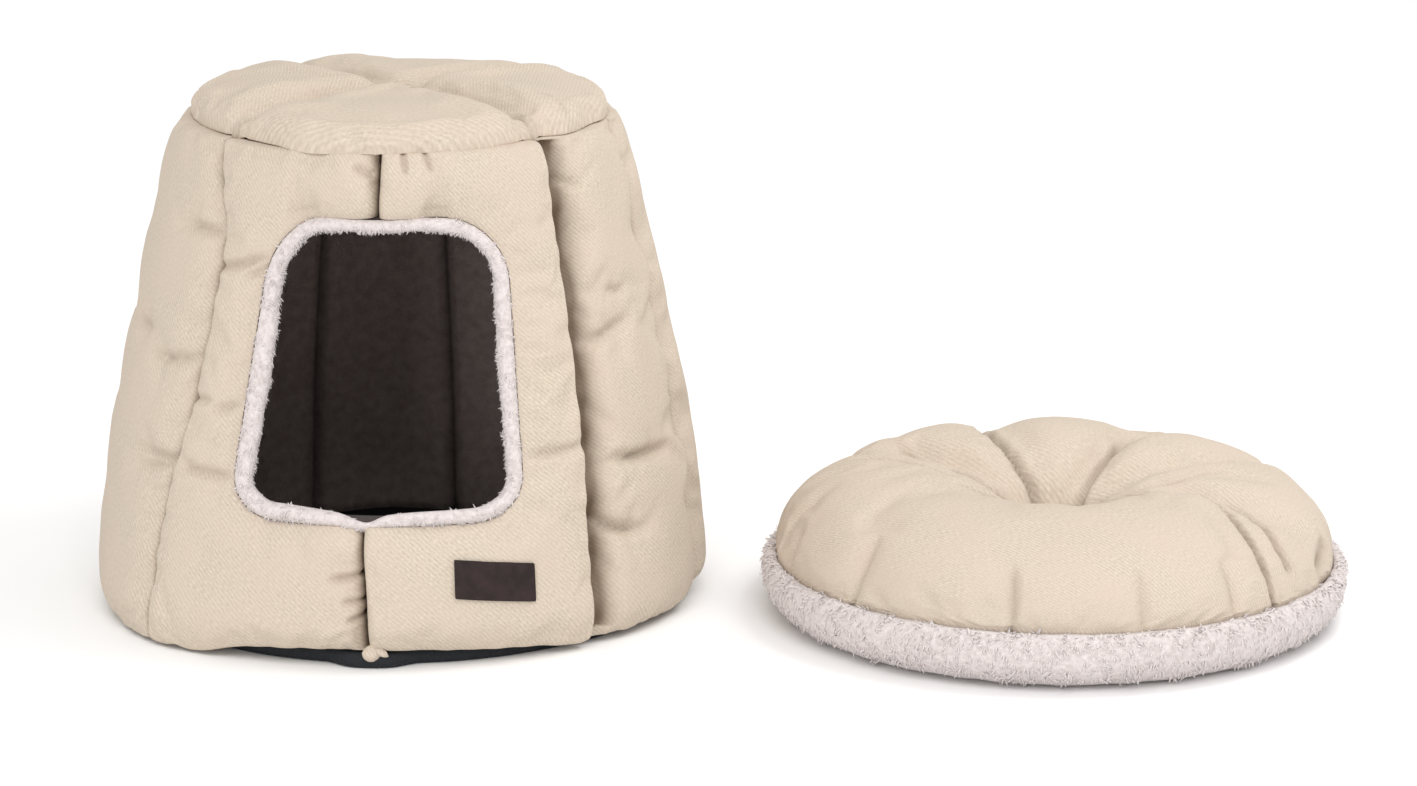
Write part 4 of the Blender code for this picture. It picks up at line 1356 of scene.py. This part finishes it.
def add_label():
    bm = bmesh.new()
    bmesh.ops.create_grid(bm, x_segments=34, y_segments=16, size=0.5)
    skin = BVHTree.FromObject(panels[0], bpy.context.evaluated_depsgraph_get())
    for vert in bm.verts:
        across, up = LABEL_WIDTH * vert.co.x, LABEL_HEIGHT * vert.co.y
        height = LABEL_MIDDLE + up - LABEL_SLOPE * across
        angle = LABEL_ANGLE + math.degrees(across / LABEL_RADIUS)
        start = CAVE @ on_round(0.40, angle, height)
        toward = CAVE @ Vector((0.0, 0.0, height)) - start
        hit = skin.ray_cast(start, toward.normalized())[0]
        vert.co = CAVE.inverted() @ hit - toward.normalized() * LABEL_CLEAR
    for turn in range(4):
        bmesh.ops.smooth_vert(bm, verts=bm.verts, factor=0.5, use_axis_x=True, use_axis_y=True,
                              use_axis_z=True)
    bmesh.ops.recalc_face_normals(bm, faces=bm.faces)
    if sum(face.normal.y * face.calc_area() for face in bm.faces) > 0.0:
        bmesh.ops.reverse_faces(bm, faces=bm.faces)
    bmesh.ops.solidify(bm, geom=list(bm.faces), thickness=-LABEL_THICKNESS)
    bmesh.ops.recalc_face_normals(bm, faces=bm.faces)
    return make_piece("label", bm, leather, CAVE, ("leather_label",))


label = add_label()
print("label", len(label.data.polygons))

# %% [markdown]
# The plush underside is a shallow dish that wraps up the cushion's side as far as the seam.

# %% Plush dish
# Radius and height, from the middle of its underside over its rim to the middle of its inside
DISH_PROFILE = ((0.0, 0.0), (0.1, 0.0), (0.2040, 0.0), (0.2130, 0.0016), (0.2200, 0.0045), (0.2270, 0.0100),
                (0.2330, 0.0170), (0.2370, 0.0240), (0.2390, 0.0320), (0.2388, 0.0390), (0.2375, 0.0440),
                (0.2335, 0.0480), (0.2286, 0.0480), (0.2271, 0.0354), (0.2196, 0.0199), (0.2056, 0.0116),
                (0.1900, 0.0093), (0.0, 0.0093))


def add_dish():
    bm = spin_profile(DISH_PROFILE, 320)
    bmesh.ops.scale(bm, verts=bm.verts, vec=(1.0, CUSHION_DEEPER, 1.0))
    bmesh.ops.recalc_face_normals(bm, faces=bm.faces)
    return make_piece("plush_dish", bm, plush, CUSHION, ("cushion_plush",))


dish = add_dish()
soften(dish, 0.020, 0.0012, 31)
for vert in dish.data.vertices:
    vert.co.z = max(vert.co.z, 0.0)
print("plush dish", len(dish.data.polygons))

# %% [markdown]
# Fur is grown as many small locks. One lock is a bent three-sided cone of a few faces. Copies of it
# are laid along the plush with their own length, lean and tone, and joined into one mesh.

# %% One lock of fur
LOCK_TIP, LOCK_BEND = 0.10, 0.42


def one_lock():
    """A lock one unit long, from its root at 0 to its tip, as points and faces."""
    bm = bmesh.new()
    bmesh.ops.create_cone(bm, segments=3, radius1=0.5, radius2=LOCK_TIP, depth=1.0, cap_ends=True)
    bmesh.ops.translate(bm, verts=bm.verts, vec=(0.0, 0.0, 0.5))
    sides = [edge for edge in bm.edges if abs(edge.verts[0].co.z - edge.verts[1].co.z) > 0.5]
    bmesh.ops.subdivide_edges(bm, edges=sides, cuts=1)
    bmesh.ops.triangulate(bm, faces=bm.faces)
    bm.verts.index_update()
    points = np.array([vert.co for vert in bm.verts])
    faces = np.array([[vert.index for vert in face.verts] for face in bm.faces])
    bm.free()
    return points, faces


print("one lock", [len(part) for part in one_lock()], "points and faces")

# %% [markdown]
# The locks' roots are spread over the plush by area. Neighbours lean alike, because a smooth noise
# turns them, and a little chance is added to each, so the pile lies in soft clumps.

# %% Grow the fur
CLUMP_SIZE, CLUMP_TURN, LOCK_CHANCE = 0.009, 0.8, 0.22
# Shortest lock as a share of the length, and how much longer they get, and the same for the width
LOCK_LENGTHS, LOCK_WIDTHS = (0.65, 0.7), (0.7, 0.6)
# A lock's thickness as a share of its width
LOCK_FLAT = 0.6
# How deep a root sits in the plush, and the lowest that a lock reaches
ROOT_DEPTH, FUR_LOWEST = 0.0010, 0.0004


def grow_fur(name, carrier, count, length, width, wanted, lay, seed):
    """Covers a carrier with locks, where the wanted rule says so, laid along a direction rule."""
    chance = np.random.default_rng(seed)
    mesh = carrier.data
    mesh.calc_loop_triangles()
    places = np.array([vert.co for vert in mesh.vertices])
    corners = np.array([triangle.vertices for triangle in mesh.loop_triangles])
    first, second, third = (places[corners[:, column]] for column in range(3))
    facing = np.cross(second - first, third - first)
    size = np.linalg.norm(facing, axis=1)
    middle = (first + second + third) / 3.0
    facing = facing / np.maximum(size, 1e-12)[:, None]
    size = size * wanted(middle, facing)
    picked = chance.choice(len(size), size=count, p=size / size.sum())
    one, two = chance.random(count), chance.random(count)
    over = one + two > 1.0
    one, two = np.where(over, 1 - one, one), np.where(over, 1 - two, two)
    roots = first[picked] + one[:, None] * (second - first)[picked] + two[:, None] * (third - first)[picked]
    up = facing[picked]
    clump = np.array([[stray(root, CLUMP_SIZE, seed + axis) for axis in range(3)] for root in roots])
    way = lay(roots, up) + CLUMP_TURN * clump + LOCK_CHANCE * chance.normal(size=(count, 3))
    way /= np.linalg.norm(way, axis=1)[:, None]
    side = np.cross(way, up)
    side /= np.maximum(np.linalg.norm(side, axis=1), 1e-9)[:, None]
    rise_way = np.cross(side, way)
    points, faces = one_lock()
    long = length * (LOCK_LENGTHS[0] + LOCK_LENGTHS[1] * chance.random(count))
    wide = width * (LOCK_WIDTHS[0] + LOCK_WIDTHS[1] * chance.random(count))
    tip = points[:, 2]
    shape = (roots[:, None, :] - ROOT_DEPTH * up[:, None, :]
             + way[:, None, :] * (tip[None, :] * long[:, None])[:, :, None]
             + side[:, None, :] * (points[None, :, 0] * wide[:, None])[:, :, None]
             + rise_way[:, None, :] * (points[None, :, 1] * LOCK_FLAT * wide[:, None]
                                       - LOCK_BEND * tip[None, :] ** 2 * long[:, None])[:, :, None])
    shape[:, :, 2] = np.maximum(shape[:, :, 2], FUR_LOWEST)
    total = count * len(points)
    mesh = bpy.data.meshes.new(name)
    triangles = (faces[None, :, :] + len(points) * np.arange(count)[:, None, None]).reshape(-1, 3)
    mesh.from_pydata(shape.reshape(total, 3).tolist(), [], triangles.tolist())
    tones = np.repeat(chance.random(count), len(points))
    for mark, values in (("tip", np.tile(tip, count)), ("tone", tones)):
        layer = mesh.attributes.new(mark, "FLOAT", "POINT")
        layer.data.foreach_set("value", values.astype(np.float32))
    mesh.materials.append(locks_finish)
    mesh.shade_smooth()
    fur = bpy.data.objects.new(name, mesh)
    bpy.context.collection.objects.link(fur)
    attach(fur, "root")
    print(name, count, "locks", len(triangles), "triangles")
    return fur


# %% [markdown]
# On the cushion the pile hangs down from the seam, and its top row turns outwards. On the roll it
# falls a little forward, and none grows on the side that is sewn to the wall.

# %% Fur of the cushion and the roll
def below_seam(middle, facing):
    outside = np.linalg.norm(on_cushion(middle), axis=1) > 0.21
    return ((middle[:, 2] > 0.004) & (facing[:, 2] > -0.8) & outside) * 1.0


def comb_down(roots, up):
    """Down the side of the dish, and outwards near the seam at its top."""
    near_seam = np.clip((roots[:, 2:3] - 0.032) / 0.014, 0.0, 1.0)
    outward = on_cushion(roots) / np.linalg.norm(on_cushion(roots), axis=1)[:, None]
    outward = np.concatenate([outward, np.zeros((len(roots), 1))], axis=1)
    upright = np.array([[0.0, 0.0, 1.0]])
    return 0.50 * up + near_seam * 0.55 * outward + 0.8 * (1.10 * near_seam - 1.0) * upright


DISH_LOCKS = 14000
ROLL_LOCKS = 8000
dish_fur = grow_fur("dish_fur", dish, DISH_LOCKS, 0.0043, 0.0034, below_seam, comb_down, 11)
roll_fur = grow_fur("roll_fur", roll, ROLL_LOCKS, 0.0034, 0.0023,
                    lambda middle, facing: (facing[:, 1] < 0.5) * 1.0,
                    lambda roots, up: 0.45 * up + np.array([0.0, 0.1, -0.5]), 12)
